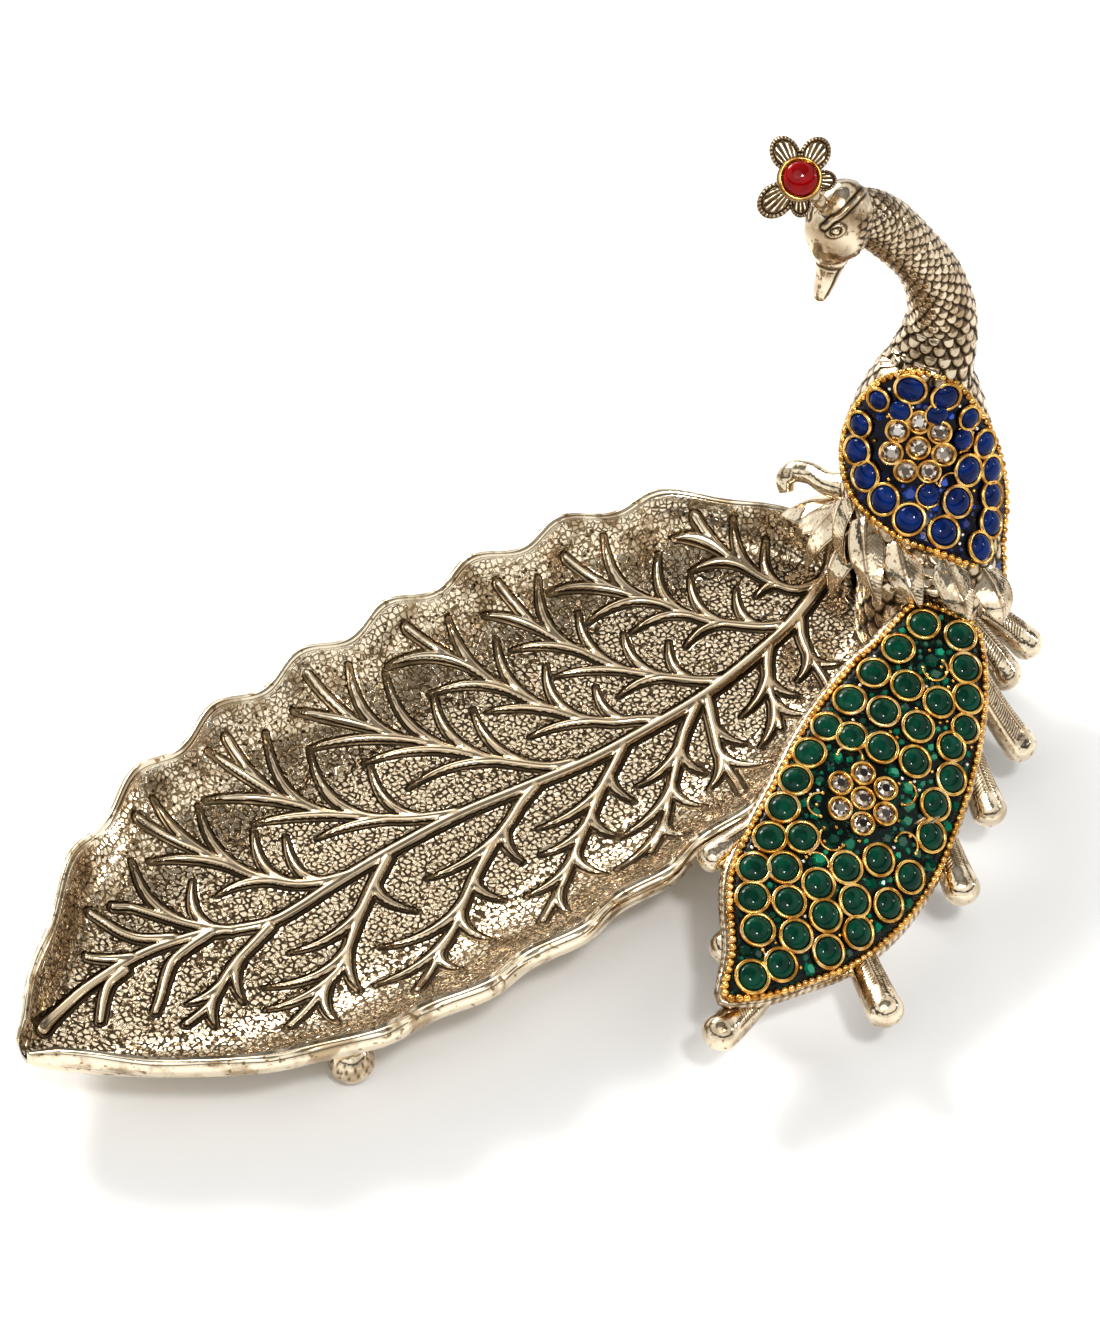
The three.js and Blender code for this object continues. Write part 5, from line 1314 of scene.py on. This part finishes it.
def ballFeet():
    r, top = feet["radius"], 2 * feet["radius"] - 0.4
    end = top + feet["studLength"]
    for name, (x, y) in feet["spots"].items():
        casting = Casting()
        profile = [(0.1, 0), (feet["flat"], 0)]
        profile += arc(-64, 64, 30, r, r - 0.2, (r - 0.2) * 0.97 / math.sin(math.radians(64)))
        profile += [(feet["flat"], top), (feet["studRadius"], top), (feet["studRadius"], end), (0.1, end)]
        rings = revolved(profile, 60)
        turn = around(60)[None]
        cut = stripes(turn + 0.05 * rings[..., 2], np.pi / 7) ** 12 * (rings[..., 2] > 5) * (rings[..., 2] < 10)
        rings[..., :2] *= (1 - 0.04 * cut)[..., None]
        casting.loft(seated(upright(x, y), rings), worn=1 - 0.85 * cut)
        casting.make("".join(word.title() if k else word for k, word in enumerate(name.split("_"))),
                     [featherSilver], [name])


# Thread: radius, lowest and highest point, pitch. Drive: half the width of the slots and their height.
bodyBolt = dict(
    profile=[(0.1, 14.6), (2, 14.6), (2, 14.3), (4.3, 14.3), (4.5, 14.6), (4.5, 17.5), (2.5, 17.65), (2.5, 63),
             (2, 64.1), (0.1, 64.1)],
    thread=(2.42, 48, 62, 0.8), drive=(1.8, 14.6),
)
trayScrew = dict(
    profile=[(0.1, 7.9), (1.2, 7.9), (1.2, 7.6), (2.7, 7.6), (3, 8), (3, 9.4), (1.6, 9.4), (1.6, 21.9), (1.2, 22.7),
             (0.1, 22.7)],
    thread=(1.52, 14, 21.5, 0.5), drive=(1.1, 7.9), spots=[(272, -35), (272, -21)],
)


def screw(name, node, x, y, kind):
    casting = Casting()
    casting.loft(seated(upright(x, y), revolved(kind["profile"], 36)))
    radius, low, high, pitch = kind["thread"]
    turns = np.linspace(0, 2 * np.pi * (high - low) / pitch, int(14 * (high - low) / pitch))
    path = np.stack([x + radius * np.cos(turns), y + radius * np.sin(turns), low + pitch * turns / (2 * np.pi)], -1)
    wire = np.full(len(path), 0.16)
    casting.loft(tubeRings(path, (0, 0, 1), wire, wire, 5))
    width, z = kind["drive"]
    for hand in (-1, 1):
        slot = [(x - width, y + hand * width * 0.55, z), (x + width, y + hand * width * 0.55, z)]
        casting.loft(tubeRings(slot, (0, 1, 0), [width * 0.32] * 2, [0.25] * 2, 8))
    casting.make(name, [steel], [node])


def fasteners():
    screw("bodyBolt", "body_bolt", *body["hub"], bodyBolt)
    for k, spot in enumerate(trayScrew["spots"]):
        screw(f"trayScrew{k + 1}", f"tray_screw_{k + 1}", *spot, trayScrew)


def steelFinish(name):
    finish = Finish(name, Metallic=1.0)
    grime = finish.noise(2.5, 3.0).between(0.45, 0.7)
    colour = finish.blend(grime, (0.46, 0.45, 0.44), (0.16, 0.14, 0.12))
    finish.shade(Base_Color=colour, Roughness=0.28 + grime * 0.3)
    return finish.material


def redStone(name):
    finish = Finish(name, Roughness=0.06, Coat_Weight=0.05, Coat_Roughness=0.01, IOR=1.26)
    cloud = finish.noise(5, 2.0).between(0.3, 0.7)
    finish.shade(Base_Color=finish.blend(cloud, (0.15, 0.0002, 0.0006), (0.34, 0.001, 0.002)))
    return finish.material


featherSilver = birdSilver("featherSilver")
redGlass = redStone("redStone")
steel = steelFinish("steel")
neckAndHead()
crestFlower()
bodyCasting()
featherBase()
ballFeet()
fasteners()
print("bird set")

# Stage, lamps and camera. The sky's brightness goes by height, the floor fades out between two distances in metres.
stage = dict(
    floorHalf=4.0, floorColour=(0.85, 0.85, 0.85), fade=(0.5, 0.95),
    sky=[(0.0, 1.0), (0.26, 1.0), (0.3, 0.04), (0.44, 0.04), (0.5, 1.0), (0.6, 1.1), (0.8, 1.1), (0.86, 0.1),
         (1.0, 0.4)],
)


def buildStage():
    mesh = bpy.data.meshes.new("floor")
    h = stage["floorHalf"]
    mesh.from_pydata([(-h, -h, 0), (h, -h, 0), (h, h, 0), (-h, h, 0)], [], [(0, 1, 2, 3)])
    floor = bpy.data.objects.new("floor", mesh)
    bpy.context.scene.collection.objects.link(floor)
    finish = Finish("paperFloor", Base_Color=(*stage["floorColour"], 1), Roughness=0.9, Specular_IOR_Level=0.0)
    away = finish.node("ShaderNodeVectorMath", {"operation": "LENGTH"}, {0: finish.place()}, 1)
    finish.shade(Alpha=1 - away.between(*stage["fade"]))
    mesh.materials.append(finish.material)

    world = bpy.data.worlds.new("studio")
    bpy.context.scene.world = world
    world.use_nodes = True
    tree = world.node_tree
    sky = tree.nodes["Background"]
    place = tree.nodes.new("ShaderNodeTexCoord")
    split = tree.nodes.new("ShaderNodeSeparateXYZ")
    ramp = tree.nodes.new("ShaderNodeValToRGB")
    for _ in range(len(stage["sky"]) - 2):
        ramp.color_ramp.elements.new(0.5)
    for element, (height, level) in zip(ramp.color_ramp.elements, stage["sky"]):
        element.position, element.color = height, (level, level, 0.97 * level, 1)
    tree.links.new(place.outputs["Generated"], split.inputs[0])
    tree.links.new(split.outputs["Z"], ramp.inputs[0])
    tree.links.new(ramp.outputs[0], sky.inputs[0])
    sky.inputs[1].default_value = 1.0


# Lamps by direction, distance and size in metres, power and colour.
lamps = dict(
    keyLamp=((-0.04, 0.78, 0.63), 1.6, 0.5, 19, (1, 0.98, 0.95)),
    backLamp=((0.33, 0.79, 0.52), 1.7, 0.7, 7, (1, 0.98, 0.95)),
    overLamp=((-0.35, -0.25, 0.9), 1.6, 0.9, 3, (1, 1, 1)),
    glintLamp=((-0.14, -0.49, 0.86), 1.6, 0.2, 9, (1, 1, 1)),
    sideLamp=((0.79, -0.49, 0.37), 1.6, 0.2, 1.5, (1, 1, 1)),
)


def buildLamp(name, direction, distance, size, power, colour):
    data = bpy.data.lights.new(name, "AREA")
    data.shape, data.size, data.energy, data.color = "DISK", size, power, colour
    light = bpy.data.objects.new(name, data)
    bpy.context.scene.collection.objects.link(light)
    heading = Vector(direction).normalized()
    light.location = Vector(metres([165, -10, 40])) + heading * distance
    light.rotation_euler = heading.to_track_quat("Z", "Y").to_euler()


def buildCamera():
    target = Vector(metres([167.9, -1.6, 60]))
    data = bpy.data.cameras.new("camera")
    data.lens, data.sensor_width = 85, 36
    camera = bpy.data.objects.new("camera", data)
    bpy.context.scene.collection.objects.link(camera)
    camera.location = Vector(metres([-191.1, -452.8, 657.1]))
    camera.rotation_mode = "QUATERNION"
    camera.rotation_quaternion = (target - camera.location).to_track_quat("-Z", "Y")
    bpy.context.scene.camera = camera


buildStage()
for name, values in lamps.items():
    buildLamp(name, *values)
buildCamera()
bpy.context.scene.view_settings.view_transform = "Standard"
